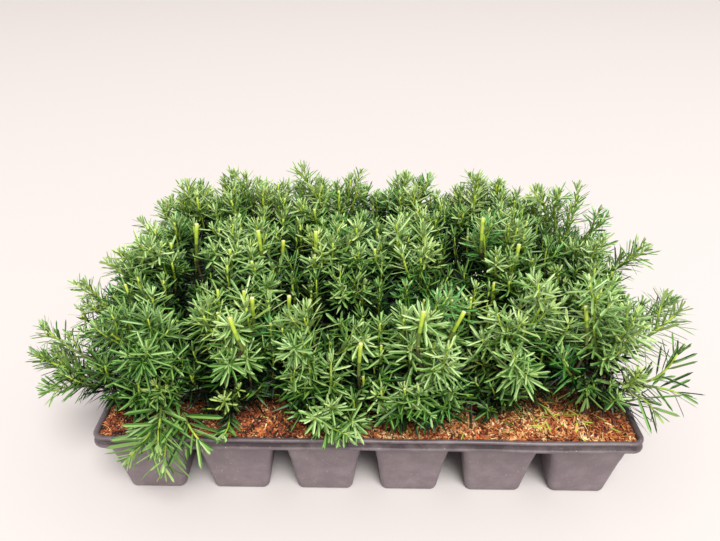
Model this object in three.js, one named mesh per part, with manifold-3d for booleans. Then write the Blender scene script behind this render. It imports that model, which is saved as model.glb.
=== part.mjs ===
// A nursery tray of eighteen young densiformis yews, in millimetres, +Z up.
// The origin is on the floor under the middle of the tray, +X runs along the tray and +Y to its back.
// The tray is one moulded shell: a rim, a deck and three rows of six tapered cells with a drain hole each.
// One body of growing medium fills the cells and covers the deck. A short woody stem stands over each cell.
// Each yew has two masses of foliage, a leader mass over the stem and a skirt mass beside it. They are
// shoots, each a slim needle-clad core that some flat needles stand out of, fused to one twig.
import * as THREE from "three";
import { mergeVertices } from "three/addons/utils/BufferGeometryUtils.js";
import Module from "manifold-3d";

const wasm = await Module();
wasm.setup();

// Tray
const COLUMNS = 6;
const ROWS = 3;
const PITCH = 88;
const TRAY_LENGTH = 538;
const TRAY_WIDTH = 272;
const TRAY_HEIGHT = 90;
const TRAY_CORNER = 14;
const WALL = 1.6;
const RIM_DROP = 12;
const RIM_ROLL = 6.5;
const DECK_TOP = 81;
const CELL_TOP = 79;
const CELL_BOTTOM = 57.5;
const CELL_CORNER = 8;
const DRAIN_RADIUS = 5;

// Growing medium
const GAP = 0.3;
const SOIL_TOP = 86.5;

// Yews
const STEM_RISE = 34;
const STEM_RADII = [4.4, 3.0, 2.5, 2.0];
const TWIG_RADII = [2.5, 2.1];
const ROOT_DEPTH = 0.9;
const SHOOT_RADII = [0, 3.3, 3.9, 3.0, 0];
const SHOOT_STATIONS = [0, 0.13, 0.41, 0.7, 1];
const NEEDLE_LENGTH = 44;
const NEEDLE_TRIES = [1, 0.78, 0.56, 0.38];
const ROOT_OVERLAP = 60;
const GOLDEN_TURN = Math.PI * (3 - Math.sqrt(5));
const LEADER_SHARE = 0.6;
const INNER_SHOOTS = 3;
const INNER_FAN = 2.4;
const SKIRT_RUN = 23;
const SKIRT_RISE = 13;
const SKIRT_FAN = 3.2;
const SPLIT_SLOPE = 0.75;
const REACH_X = 322;
const REACH_Y = 160;
const REACH_Z = 284;
const FLOOR_CLEARANCE = 20;

// What each row is like: its name, the height of its yews over the medium, how far the skirts of its six yews
// reach outwards, and how many shoots there are in its crowns and its skirts.
const ROW_FORMS = [
  { name: "front", y: -PITCH, height: 122, reach: [66, 66, 54, 44, 34, 44], topShoots: 5, skirtShoots: 5 },
  { name: "middle", y: 0, height: 158, reach: [44, 44, 44, 44, 44, 44], topShoots: 6, skirtShoots: 4 },
  { name: "back", y: PITCH, height: 178, reach: [66, 66, 66, 66, 66, 66], topShoots: 6, skirtShoots: 5 },
];

// Tips of the shoots that make the crown's outline, as x, y and height over the floor, by row and column.
const OUTLINE_TIPS = {
  front_1: [[-318, -88, 152], [-316, -60, 134], [-226, -157, 80], [-246, -92, 190], [-190, -88, 213]],
  front_2: [[-127, -90, 200], [-160, -78, 206], [-168, -157, 79]],
  front_3: [[-68, -74, 216], [-12, -90, 180], [-33, -152, 94]],
  front_4: [[50, -88, 210], [66, -74, 224]],
  front_5: [[100, -88, 204], [129, -84, 226], [166, -78, 232]],
  front_6: [[206, -84, 236], [247, -88, 214], [300, -66, 204], [316, -92, 172]],
  middle_1: [[-304, 0, 184], [-280, 6, 207], [-270, 36, 202], [-224, -6, 236]],
  middle_2: [[-166, 0, 254], [-112, 0, 244]],
  middle_3: [[-54, 0, 247], [-18, 8, 240]],
  middle_4: [[28, 0, 252], [62, -8, 242]],
  middle_5: [[112, 0, 262], [150, 6, 256]],
  middle_6: [[196, 0, 230], [233, 0, 239], [286, 14, 230], [316, -20, 182]],
  back_1: [[-232, 84, 238], [-202, 90, 260]],
  back_2: [[-164, 88, 266], [-138, 90, 271], [-106, 88, 250]],
  back_3: [[-74, 88, 282], [-46, 84, 250], [-20, 88, 271]],
  back_4: [[14, 84, 252], [30, 88, 269], [66, 88, 272]],
  back_5: [[100, 84, 250], [118, 88, 270], [142, 90, 266]],
  back_6: [[188, 86, 260], [208, 90, 253], [234, 88, 246], [266, 72, 232]],
};

const plastic = new THREE.MeshStandardMaterial({ color: 0x4b464c, roughness: 0.55, metalness: 0 });
const medium = new THREE.MeshStandardMaterial({ color: 0x6a3820, roughness: 0.95, metalness: 0 });
const bark = new THREE.MeshStandardMaterial({ color: 0x6f6a33, roughness: 0.8, metalness: 0 });
const leaderGreen = new THREE.MeshStandardMaterial({ color: 0x4f8a3a, roughness: 0.5, metalness: 0 });
const skirtGreen = new THREE.MeshStandardMaterial({ color: 0x3b6f34, roughness: 0.5, metalness: 0 });

// Solids and meshes

function solidFrom(geometry) {
  const bare = geometry.clone();
  bare.deleteAttribute("normal");
  bare.deleteAttribute("uv");
  const merged = mergeVertices(bare, 1e-4);
  return new wasm.Manifold(
    new wasm.Mesh({
      numProp: 3,
      vertProperties: merged.attributes.position.array,
      triVerts: new Uint32Array(merged.index.array),
    }),
  );
}

function meshFrom(solid, name, material) {
  const { vertProperties, triVerts } = solid.getMesh();
  const geometry = new THREE.BufferGeometry();
  geometry.setAttribute("position", new THREE.BufferAttribute(new Float32Array(vertProperties), 3));
  geometry.setIndex(new THREE.BufferAttribute(new Uint32Array(triVerts), 1));
  geometry.computeVertexNormals();
  const mesh = new THREE.Mesh(geometry, material);
  mesh.name = name;
  return mesh;
}

function union(solids) {
  return solids.reduce((joined, solid) => joined.add(solid));
}

// The largest body of a solid, without its loose scraps and sealed hollows.
function mainBody(solid) {
  return solid.decompose().reduce((best, piece) => (piece.volume() > best.volume() ? piece : best));
}

function roundedRectangle(length, width, radius) {
  const x = length / 2 - radius;
  const y = width / 2 - radius;
  const quarter = Math.PI / 2;
  const outline = new THREE.Shape();
  outline.absarc(x, y, radius, 0, quarter);
  outline.absarc(-x, y, radius, quarter, 2 * quarter);
  outline.absarc(-x, -y, radius, 2 * quarter, 3 * quarter);
  outline.absarc(x, -y, radius, 3 * quarter, 4 * quarter);
  outline.closePath();
  return outline;
}

// A block with rounded upright corners, from one height to another, drawn in evenly by `taper` at its foot.
function block(length, width, radius, low, high, taper = 1) {
  const geometry = new THREE.ExtrudeGeometry(roundedRectangle(length, width, radius), {
    depth: high - low,
    bevelEnabled: false,
    curveSegments: 1,
  });
  const position = geometry.attributes.position;
  for (let i = 0; i < position.count; i += 1) {
    const scale = position.getZ(i) < (high - low) / 2 ? taper : 1;
    position.setXYZ(i, position.getX(i) * scale, position.getY(i) * scale, position.getZ(i) + low);
  }
  return solidFrom(geometry);
}

// A limb from one point to another: level rings of corners, one per radius, with the first corners to `turn`.
function limb(start, end, radii, sides, turn) {
  const last = radii.length - 1;
  const corners = [];
  radii.forEach((radius, i) => {
    const centre = start.clone().lerp(end, i / last);
    for (let k = 0; k < sides; k += 1) {
      const angle = turn + (2 * Math.PI * k) / sides;
      const out = new THREE.Vector3(Math.cos(angle), Math.sin(angle), 0);
      corners.push(centre.clone().addScaledVector(out, radius));
    }
  });
  const faces = [];
  for (let i = 0; i < last * sides; i += sides) {
    for (let k = 0; k < sides; k += 1) {
      const next = (k + 1) % sides;
      faces.push(i + k, i + next, i + sides + next, i + k, i + sides + next, i + sides + k);
    }
  }
  const top = last * sides;
  for (let k = 1; k < sides - 1; k += 1) faces.push(0, k + 1, k, top, top + k, top + k + 1);
  const geometry = new THREE.BufferGeometry().setFromPoints(corners);
  geometry.setIndex(faces);
  return solidFrom(geometry);
}

// The solid of one needle, from the three corners of its foot and its tip.
function bladeFrom(points) {
  const geometry = new THREE.BufferGeometry().setFromPoints(points);
  geometry.setIndex([0, 2, 1, 0, 1, 3, 1, 2, 3, 2, 0, 3]);
  return solidFrom(geometry);
}

// A shoot along a curve: a three-sided core whose rings are turned against each other, with a needle on every
// face past the pointed foot. `roomFor` says if a needle's corners have room, or else a shorter one is tried.
function shoot(curve, turn, roomFor) {
  const corners = [];
  const faces = [];
  const stretches = [];
  const last = SHOOT_RADII.length - 1;
  const stations = SHOOT_STATIONS.map((share) => {
    const tangent = curve.getTangentAt(share);
    const side = new THREE.Vector3(Math.cos(turn), Math.sin(turn), 0.1).cross(tangent).normalize();
    const other = new THREE.Vector3().crossVectors(tangent, side);
    return { centre: curve.getPointAt(share), tangent, side, other };
  });
  const rings = stations.map(({ centre, side, other }, i) => {
    const ring = [];
    for (let k = 0; k < (SHOOT_RADII[i] > 0 ? 3 : 1); k += 1) {
      const angle = (Math.PI / 3) * (i + 2 * k);
      const corner = centre
        .clone()
        .addScaledVector(side, SHOOT_RADII[i] * Math.cos(angle))
        .addScaledVector(other, SHOOT_RADII[i] * Math.sin(angle));
      ring.push(corners.push(corner) - 1);
    }
    return ring;
  });

  function addFace(base, i) {
    const foot = base.map((index) => corners[index]);
    const middle = foot.reduce((sum, corner) => sum.add(corner), new THREE.Vector3()).divideScalar(3);
    const { centre, tangent } = stations[i];
    const out = middle.clone().sub(centre).projectOnPlane(tangent).normalize();
    const lean = 1.15 - 0.75 * SHOOT_STATIONS[i];
    const way = out.multiplyScalar(Math.sin(lean)).addScaledVector(tangent, Math.cos(lean));
    for (const share of NEEDLE_TRIES) {
      const tip = middle.clone().addScaledVector(way, share * NEEDLE_LENGTH);
      const blade = [...foot, tip];
      if (!roomFor(blade)) continue;
      const point = corners.push(tip) - 1;
      faces.push(base[0], base[1], point, base[1], base[2], point, base[2], base[0], point);
      stretches.push(blade);
      return;
    }
    faces.push(...base);
  }

  for (let i = 0; i < last; i += 1) {
    const [low, high] = [rings[i], rings[i + 1]];
    stretches.push([...low, ...high].map((index) => corners[index]));
    for (let k = 0; k < 3; k += 1) {
      const next = (k + 1) % 3;
      if (low.length === 1) {
        faces.push(low[0], high[next], high[k]);
      } else if (high.length === 1) {
        addFace([low[k], low[next], high[0]], i);
      } else {
        addFace([low[k], low[next], high[k]], i);
        addFace([low[next], high[next], high[k]], i);
      }
    }
  }
  const geometry = new THREE.BufferGeometry().setFromPoints(corners);
  geometry.setIndex(faces);
  return { solid: solidFrom(geometry), stretches };
}

// Random numbers from 0 to 1 that are the same in every run.
function seeded(seed) {
  let state = seed >>> 0;
  return () => {
    state = (state + 0x6d2b79f5) >>> 0;
    let mixed = Math.imul(state ^ (state >>> 15), state | 1);
    mixed ^= mixed + Math.imul(mixed ^ (mixed >>> 7), mixed | 61);
    return ((mixed ^ (mixed >>> 14)) >>> 0) / 4294967296;
  };
}

// Tray and growing medium

const cellCentres = [];
for (let row = 0; row < ROWS; row += 1) {
  for (let column = 0; column < COLUMNS; column += 1) {
    const x = (column - (COLUMNS - 1) / 2) * PITCH;
    cellCentres.push([x, ROW_FORMS[row].y]);
  }
}

function makeTray() {
  const deckUnder = DECK_TOP - WALL;
  const inset = (by) => [TRAY_LENGTH - 2 * by, TRAY_WIDTH - 2 * by, TRAY_CORNER - by];
  const basin = block(...inset(RIM_ROLL), DECK_TOP, TRAY_HEIGHT + 1);
  const underDeck = block(...inset(WALL), TRAY_HEIGHT - RIM_DROP - 1, deckUnder);
  const rollHollow = block(...inset(WALL), deckUnder - 1, TRAY_HEIGHT - WALL).subtract(
    block(...inset(RIM_ROLL - WALL), deckUnder - 2, TRAY_HEIGHT + 1),
  );
  let tray = block(...inset(0), TRAY_HEIGHT - RIM_DROP, TRAY_HEIGHT).subtract(basin);
  tray = tray.subtract(underDeck).subtract(rollHollow);
  const taper = CELL_BOTTOM / CELL_TOP;
  const innerTop = CELL_TOP - 2 * WALL;
  const innerTaper = (CELL_BOTTOM - 2 * WALL) / innerTop;
  const drain = new THREE.CylinderGeometry(DRAIN_RADIUS, DRAIN_RADIUS, 4 * WALL, 6).rotateX(Math.PI / 2);
  for (const [x, y] of cellCentres) {
    tray = tray.add(block(CELL_TOP, CELL_TOP, CELL_CORNER, 0, DECK_TOP, taper).translate([x, y, 0]));
  }
  for (const [x, y] of cellCentres) {
    const cavity = block(innerTop, innerTop, CELL_CORNER - WALL, WALL, DECK_TOP + WALL, innerTaper);
    tray = tray.subtract(cavity.translate([x, y, 0])).subtract(solidFrom(drain).translate([x, y, 0]));
  }
  return meshFrom(tray, "tray", plastic);
}

function makeMedium() {
  const clear = RIM_ROLL + GAP;
  const layer = block(
    TRAY_LENGTH - 2 * clear,
    TRAY_WIDTH - 2 * clear,
    TRAY_CORNER - clear,
    DECK_TOP + GAP,
    SOIL_TOP,
  );
  const top = CELL_TOP - 2 * WALL - 2 * GAP;
  const taper = (CELL_BOTTOM - 2 * WALL - 2 * GAP) / top;
  const plugs = cellCentres.map(([x, y]) =>
    block(top, top, CELL_CORNER - WALL - GAP, WALL + GAP, DECK_TOP + 1, taper).translate([x, y, 0]),
  );
  return meshFrom(union([layer, ...plugs]), "growing_medium", medium);
}

// Yews

// The curve of a shoot: it leaves level and sweeps up to its tip, or over and down to a hanging one.
function sweep(start, tip) {
  const run = new THREE.Vector3().subVectors(tip, start);
  const rise = run.z > 0 ? 0.34 : 0.1;
  const bend = new THREE.Vector3(start.x + 0.6 * run.x, start.y + 0.6 * run.y, start.z + rise * run.z);
  return new THREE.QuadraticBezierCurve3(start, bend, tip);
}

function makeYew(row, column) {
  const form = ROW_FORMS[row];
  const name = `${form.name}_${column + 1}`;
  const random = seeded(101 + 17 * (row * COLUMNS + column));
  const between = (low, high) => low + (high - low) * random();
  const x = (column - (COLUMNS - 1) / 2) * PITCH;
  const foot = new THREE.Vector3(x, form.y, SOIL_TOP + GAP);

  // The side that the skirt grows to: out over the nearest edge, and to the front or back inside the tray.
  const outX = column === 0 ? -1 : column === COLUMNS - 1 ? 1 : 0;
  const outY = row === 0 ? -1 : row === ROWS - 1 ? 1 : outX === 0 ? (column % 2 ? 1 : -1) : 0;
  const outward = new THREE.Vector3(outX, outY * (outX ? 0.8 : 1), 0).normalize();

  const fork = foot.clone().add(new THREE.Vector3(between(-4, 4), between(-4, 4), STEM_RISE));
  const outTurn = Math.atan2(outward.y, outward.x);
  const stem = limb(foot, fork, STEM_RADII, 5, outTurn);
  const roomRadii = STEM_RADII.map((radius) => radius + 2 * GAP);
  const stemRoom = limb(foot, fork.clone().setZ(fork.z + GAP), roomRadii, 5, outTurn);

  // Each yew keeps to its own column of air, which the outer ones leave towards the outside.
  const half = PITCH / 2 - GAP / 2;
  const lowX = column === 0 ? -REACH_X : x - half;
  const highX = column === COLUMNS - 1 ? REACH_X : x + half;
  const lowY = row === 0 ? -REACH_Y : form.y - half;
  const highY = row === ROWS - 1 ? REACH_Y : form.y + half;
  const room = new THREE.Box3(
    new THREE.Vector3(lowX, lowY, FLOOR_CLEARANCE),
    new THREE.Vector3(highX, highY, REACH_Z),
  );

  // The leader mass lies over a plane that rises outwards through the fork, and the skirt mass under it.
  const split = new THREE.Plane().setFromNormalAndCoplanarPoint(
    new THREE.Vector3(-outward.x * SPLIT_SLOPE, -outward.y * SPLIT_SLOPE, 1).normalize(),
    fork,
  );
  const over = (points) => points.every((p) => split.distanceToPoint(p) > GAP / 2);
  const under = (points) => points.every((p) => split.distanceToPoint(p) < -GAP / 2);

  function clearOfTray(points) {
    const sideX = TRAY_LENGTH / 2 + GAP;
    const sideY = TRAY_WIDTH / 2 + GAP;
    const bedX = sideX - RIM_ROLL - 2 * GAP;
    const bedY = sideY - RIM_ROLL - 2 * GAP;
    const everyOne = (test) => points.every(test);
    return (
      everyOne((p) => p.z > TRAY_HEIGHT + GAP) ||
      everyOne((p) => p.z > SOIL_TOP + GAP && Math.abs(p.x) < bedX && Math.abs(p.y) < bedY) ||
      everyOne((p) => p.x < -sideX) ||
      everyOne((p) => p.x > sideX) ||
      everyOne((p) => p.y < -sideY) ||
      everyOne((p) => p.y > sideY)
    );
  }

  function hasRoom(points, above) {
    const inside = points.every((p) => room.containsPoint(p));
    return inside && (above ? over(points) : under(points)) && clearOfTray(points);
  }

  // A shoot, drawn back along its own line until it fits and keeps off the mass so far, or else none.
  function growShoot(start, tip, above, mass) {
    const turn = between(0, 2 * Math.PI);
    const roomFor = (points) => hasRoom(points, above) && bladeFrom(points).intersect(mass).isEmpty();
    for (let share = 1; share > 0.4; share -= 0.09) {
      const curve = sweep(start, start.clone().lerp(tip, share));
      curve.v0 = curve.getPoint(0).addScaledVector(curve.getTangent(0), -ROOT_DEPTH);
      const grown = shoot(curve, turn, roomFor);
      if (!grown.stretches.every((points) => hasRoom(points, above))) continue;
      if (!grown.solid.intersect(stemRoom).isEmpty()) continue;
      if (grown.solid.intersect(mass).volume() > ROOT_OVERLAP) continue;
      return mass.add(grown.solid);
    }
    return mass;
  }

  const own = (OUTLINE_TIPS[name] || []).map((tip) => new THREE.Vector3(...tip));

  // A point out from the fork's own line, `share` of the way to the side of the yew's column of air.
  function outTo(turn, share, height) {
    const [c, s] = [Math.cos(turn), Math.sin(turn)];
    const far = (share * (half - 2)) / Math.max(Math.abs(c), Math.abs(s));
    return new THREE.Vector3(x + far * c, form.y + far * s, height);
  }

  // The tips with each of the yew's own outline tips in place of the nearest.
  function withOutline(tips, outline) {
    const left = tips.slice();
    const chosen = [];
    for (const tip of outline) {
      left.sort((a, b) => a.distanceTo(tip) - b.distanceTo(tip));
      left.shift();
      chosen.push(tip);
    }
    return [...chosen, ...left];
  }

  // The leader mass: a twig up from the fork, with low shoots on the inner side and a crown over them.
  const leaderStart = fork.clone().setZ(fork.z + GAP);
  const leaderTop = fork.clone().setZ(SOIL_TOP + LEADER_SHARE * form.height);
  const domes = [];
  for (let k = 0; k < INNER_SHOOTS; k += 1) {
    const turn = outTurn + Math.PI + INNER_FAN * (k / (INNER_SHOOTS - 1) - 0.5) + between(-0.12, 0.12);
    domes.push(outTo(turn, 0.98, fork.z + between(-16, 8)));
  }
  for (let k = 0; k < form.topShoots; k += 1) {
    const level = (k + 0.5) / form.topShoots;
    const turn = between(0, 0.8) + k * GOLDEN_TURN;
    domes.push(outTo(turn, 0.98 - 0.28 * level, SOIL_TOP + form.height * (0.54 + 0.4 * level)));
  }
  const leaderTips = withOutline(domes, own.filter((tip) => over([tip]))).sort((a, b) => a.z - b.z);
  let leader = limb(leaderStart, leaderTop, TWIG_RADII, 3, outTurn);
  leaderTips.forEach((tip, k) => {
    const start = leaderStart.clone().lerp(leaderTop, 0.08 + (0.9 * (k + 0.5)) / leaderTips.length);
    leader = growShoot(start, tip, true, leader);
  });

  // The skirt mass: a twig from the stem's outer side, with shoots fanned out low all round the stem.
  const budAt = foot.clone().lerp(fork, 1 / (STEM_RADII.length - 1));
  const bud = budAt.clone().addScaledVector(outward, STEM_RADII[1] + TWIG_RADII[0] + GAP);
  const skirtEnd = budAt.clone().addScaledVector(outward, SKIRT_RUN).setZ(budAt.z + SKIRT_RISE);
  const fans = [];
  for (let k = 0; k < form.skirtShoots; k += 1) {
    const aside = SKIRT_FAN * (k / (form.skirtShoots - 1) - 0.5) + between(-0.12, 0.12);
    const fan = outTo(outTurn + aside, 0.98, budAt.z + (k % 2 ? between(4, 12) : between(20, 32)));
    fan.addScaledVector(outward, (form.reach[column] - half) * Math.max(0, Math.cos(aside)));
    fans.push(fan);
  }
  const fromOutward = (tip) => Math.abs(outward.angleTo(tip.clone().sub(budAt).setZ(0)));
  const skirtTips = withOutline(fans, own.filter((tip) => !over([tip])));
  skirtTips.sort((a, b) => fromOutward(b) - fromOutward(a));
  let skirt = limb(bud, skirtEnd, TWIG_RADII, 3, outTurn + Math.PI);
  skirtTips.forEach((tip, k) => {
    const start = bud.clone().lerp(skirtEnd, 0.1 + (0.85 * (k + 0.5)) / skirtTips.length);
    skirt = growShoot(start, tip, false, skirt);
  });

  return [
    meshFrom(stem, `stem_${name}`, bark),
    meshFrom(mainBody(leader), `leader_foliage_${name}`, leaderGreen),
    meshFrom(mainBody(skirt), `skirt_foliage_${name}`, skirtGreen),
  ];
}

const pottedYews = new THREE.Group();
pottedYews.add(makeTray(), makeMedium());
for (let row = 0; row < ROWS; row += 1) {
  for (let column = 0; column < COLUMNS; column += 1) pottedYews.add(...makeYew(row, column));
}

export default pottedYews;
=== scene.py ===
import math
from dataclasses import dataclass, replace
from functools import lru_cache

import bmesh
import bpy
import numpy as np
from bpy.props import FloatProperty, FloatVectorProperty, IntProperty, PointerProperty
from mathutils import Matrix, Vector, noise


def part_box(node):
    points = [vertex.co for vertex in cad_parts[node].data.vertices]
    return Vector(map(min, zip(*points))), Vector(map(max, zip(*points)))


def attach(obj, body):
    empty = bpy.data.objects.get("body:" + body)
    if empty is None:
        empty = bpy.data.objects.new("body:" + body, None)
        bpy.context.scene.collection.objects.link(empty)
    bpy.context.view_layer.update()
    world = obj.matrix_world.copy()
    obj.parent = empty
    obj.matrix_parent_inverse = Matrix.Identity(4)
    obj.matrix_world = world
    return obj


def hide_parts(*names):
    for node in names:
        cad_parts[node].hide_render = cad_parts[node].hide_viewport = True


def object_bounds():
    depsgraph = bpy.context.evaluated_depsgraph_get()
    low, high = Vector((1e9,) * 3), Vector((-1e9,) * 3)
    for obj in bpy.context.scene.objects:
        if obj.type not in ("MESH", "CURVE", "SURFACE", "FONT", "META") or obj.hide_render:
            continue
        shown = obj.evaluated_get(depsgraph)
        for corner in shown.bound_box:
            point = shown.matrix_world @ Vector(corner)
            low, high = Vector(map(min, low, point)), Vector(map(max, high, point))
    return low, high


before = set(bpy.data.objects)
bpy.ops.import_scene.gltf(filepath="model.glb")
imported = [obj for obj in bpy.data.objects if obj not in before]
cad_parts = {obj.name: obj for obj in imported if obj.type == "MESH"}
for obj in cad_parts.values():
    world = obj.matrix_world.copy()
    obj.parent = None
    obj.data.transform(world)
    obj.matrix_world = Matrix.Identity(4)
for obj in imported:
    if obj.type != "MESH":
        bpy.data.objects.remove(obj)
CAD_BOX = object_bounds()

bl_info = {
    "name": "Yew Tray",
    "version": (1, 0, 0),
    "blender": (4, 5, 0),
    "location": "3D View > Sidebar > Yew Tray",
    "description": "Dresses a nursery tray of young densiformis yews",
    "category": "Add Mesh",
}

MM = 0.001
UP = np.array([0.0, 0.0, 1.0])
FULL_TURN = 2 * math.pi
GOLDEN_TURN = math.pi * (3 - math.sqrt(5))

# Seeds. The solids' one is as the solids have it, and steps up from yew to yew.
CRUMB_SEED = 41
SHOOT_SEED = 700
NEEDLE_SEED = 1900
CUT_TOP_SEED = 77
SOLID_SEED, SOLID_SEED_STEP = 101, 17


def srgb(red, green, blue):
    """A colour on a screen's 0 to 255 scale as the linear one that a shader takes."""
    shares = (red / 255, green / 255, blue / 255)
    return tuple(c / 12.92 if c <= 0.04045 else ((c + 0.055) / 1.055) ** 2.4 for c in shares)


# Sizes that come from the frame

TRAY_LOW, TRAY_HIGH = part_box("tray")
TRAY_LENGTH = (TRAY_HIGH.x - TRAY_LOW.x) / MM
TRAY_WIDTH = (TRAY_HIGH.y - TRAY_LOW.y) / MM
TRAY_HEIGHT = TRAY_HIGH.z / MM
SOIL_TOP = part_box("growing_medium")[1].z / MM
BED_LENGTH = 2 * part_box("growing_medium")[1].x / MM
BED_WIDTH = 2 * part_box("growing_medium")[1].y / MM
STEM_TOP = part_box("stem_front_1")[1].z / MM

# Tray, as its solid has it

COLUMNS = 6
ROWS = 3
PITCH = 88.0
WALL = 1.6
DECK_TOP = 81.0
TRAY_CORNER = 14.0
MOUTH = 75.8
CELL_FLOOR = 54.3
DRAIN_RADIUS = 5.0

# The rim's skin from the foot of its lip over the bead and down inside: how far in, and how high.
RIM_SKIN = (
    (2.4, 78.0), (0.7, 78.0), (0.1, 78.4), (0.0, 79.2), (0.3, 80.0), (1.2, 80.6), (1.8, 81.6), (2.1, 84.0),
    (1.9, 86.2), (1.3, 87.0), (0.9, 87.9), (1.1, 88.8), (1.9, 89.6), (3.0, 90.0), (4.4, 89.9), (5.6, 89.2),
    (6.2, 88.0), (6.5, 85.5), (6.5, 81.0),
)

# How the yews grow, as their solids do

GAP = 0.3
STEM_RADII = (4.4, 3.0, 2.5, 2.0)
LEADER_SHARE = 0.6
INNER_SHOOTS = 3
INNER_FAN = 2.4
SKIRT_RUN = 23.0
SKIRT_RISE = 13.0
SKIRT_FAN = 3.2
SPLIT_SLOPE = 0.75
EDGE_SHARE = 0.98
STEM_RISE = STEM_TOP - SOIL_TOP - GAP
REACH = Vector(max(-low, high) for low, high in zip(*CAD_BOX)) / MM
AIR = PITCH / 2 - GAP / 2

# Each row from the front: the height of its yews over the medium, how far their skirts reach out, how many
# main shoots they have, how close their upright shoots stand and what share of these is clipped, at which
# heights their inner shoots end, and how long, wide, open and drooping their needles are.
ROW_FORMS = (
    {
        "name": "front", "height": 122, "reach": (66, 66, 54, 44, 34, 44), "tops": 5, "skirts": 5,
        "step": 1.0, "clipped": 0.4, "storeys": (0.4, 0.6), "needles": (1.14, 1.06, 1.02, 0.34),
    },
    {
        "name": "middle", "height": 158, "reach": (44,) * 6, "tops": 6, "skirts": 4, "step": 0.96,
        "clipped": 0.32, "storeys": (0.34, 0.5, 0.66, 0.8), "needles": (0.94, 0.94, 1.06, 0.1),
    },
    {
        "name": "back", "height": 178, "reach": (66,) * 6, "tops": 6, "skirts": 5, "step": 0.88,
        "clipped": 0.14, "storeys": (0.3, 0.44, 0.58, 0.7, 0.82), "needles": (0.84, 0.82, 1.02, 0.0),
    },
)

# Tips of the shoots that make the crown's outline, by row and column.
OUTLINE_TIPS = {
    "front_1": ((-318, -88, 152), (-316, -60, 134), (-226, -157, 80), (-246, -92, 190), (-190, -88, 213)),
    "front_2": ((-127, -90, 200), (-160, -78, 206), (-168, -157, 79)),
    "front_3": ((-68, -74, 216), (-12, -90, 180), (-33, -152, 94)),
    "front_4": ((50, -88, 210), (66, -74, 224)),
    "front_5": ((100, -88, 204), (129, -84, 226), (166, -78, 232)),
    "front_6": ((206, -84, 236), (247, -88, 214), (300, -66, 204), (316, -92, 172)),
    "middle_1": ((-304, 0, 184), (-280, 6, 207), (-270, 36, 202), (-224, -6, 236)),
    "middle_2": ((-166, 0, 254), (-112, 0, 244)),
    "middle_3": ((-54, 0, 247), (-18, 8, 240)),
    "middle_4": ((28, 0, 252), (62, -8, 242)),
    "middle_5": ((112, 0, 262), (150, 6, 256)),
    "middle_6": ((196, 0, 230), (233, 0, 239), (286, 14, 230), (316, -20, 182)),
    "back_1": ((-232, 84, 238), (-202, 90, 260)),
    "back_2": ((-164, 88, 266), (-138, 90, 271), (-106, 88, 250)),
    "back_3": ((-74, 88, 282), (-46, 84, 250), (-20, 88, 271)),
    "back_4": ((14, 84, 252), (30, 88, 269), (66, 88, 272)),
    "back_5": ((100, 84, 250), (118, 88, 270), (142, 90, 266)),
    "back_6": ((188, 86, 260), (208, 90, 253), (234, 88, 246), (266, 72, 232)),
}

# Long loose shoots that hang over the rim or stand out of the crown: their yew, start, bend and tip, how far
# apart their needles stand, how large and how flatly ranked these are, and their tone.
LOOSE_SHOOTS = (
    ("front_1", (-200, -100, 122), (-196, -134, 118), (-196, -150, 100), 1.4, 1.3, 0.3, 3.4),
    ("front_1", (-196, -116, 116), (-204, -148, 104), (-220, -158, 92), 1.3, 1.26, 0.3, 3.4),
    ("front_2", (-190, -112, 114), (-190, -148, 104), (-191, -158, 78), 1.4, 1.3, 0.3, 3.2),
    ("front_2", (-186, -108, 114), (-172, -134, 108), (-160, -142, 98), 2.4, 1.5, 0.3, 3.0),
    ("front_1", (-262, -84, 126), (-300, -88, 134), (-324, -90, 156), 1.5, 0.82, 0.5, 3.4),
    ("front_1", (-262, -86, 118), (-292, -96, 116), (-314, -98, 122), 1.5, 0.82, 0.5, 3.4),
    ("front_1", (-258, -78, 132), (-296, -76, 146), (-316, -70, 172), 1.5, 0.82, 0.5, 3.4),
    ("front_6", (236, -84, 126), (282, -94, 116), (295, -88, 163), 2.7, 1.25, 0.8, 2.3),
    ("front_6", (262, -88, 124), (286, -94, 128), (308, -94, 118), 2.9, 1.25, 0.8, 2.4),
    ("front_6", (240, -86, 118), (268, -96, 122), (280, -104, 106), 3.2, 1.35, 0.8, 2.7),
    ("front_6", (210, -84, 142), (210, -98, 138), (211, -106, 124), 1.4, 1.15, 0.3, 3.0),
)

# Tops of the leaders that were cut back, and how far each leans along the tray in its last stretch.
CUT_TOPS = (
    (-174, 0, 252, 4), (-125, -109, 216, -9), (-110, -76, 215, 1), (-78, -56, 204, 2), (-54, -8, 249, 2),
    (-111, -11, 251, -2), (-8, -112, 191, 1), (47, -109, 225, 3), (86, -92, 213, 10), (112, 0, 262, 0),
    (149, -10, 238, 1), (197, -88, 218, -6), (216, -66, 222, -4), (28, 0, 246, -3), (-90, 14, 226, 3),
)
CUT_RADIUS = 1.9
CUT_RISE = 30.0

# Camera, found from the corners of the tray

CAMERA_PLACE = (-6.88, -575.43, 556.58)
CAMERA_PITCH = math.radians(31.86)
CAMERA_YAW = math.radians(-0.293)
CAMERA_ROLL = math.radians(0.4415)
CAMERA_LENS = 32.405
SENSOR_WIDTH = 36.0


# What a user would change

class TrayFinish(bpy.types.PropertyGroup):
    plastic: FloatVectorProperty(
        name="Plastic", description="Colour of the clean plastic", subtype="COLOR", default=srgb(44, 31, 35),
    )
    dust: FloatVectorProperty(
        name="Dust", description="Colour of the dust on it", subtype="COLOR", default=srgb(117, 104, 109),
    )
    sway: FloatProperty(
        name="Sway", description="How far the soft rim strays from straight", unit="LENGTH", default=0.0005,
    )


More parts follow.
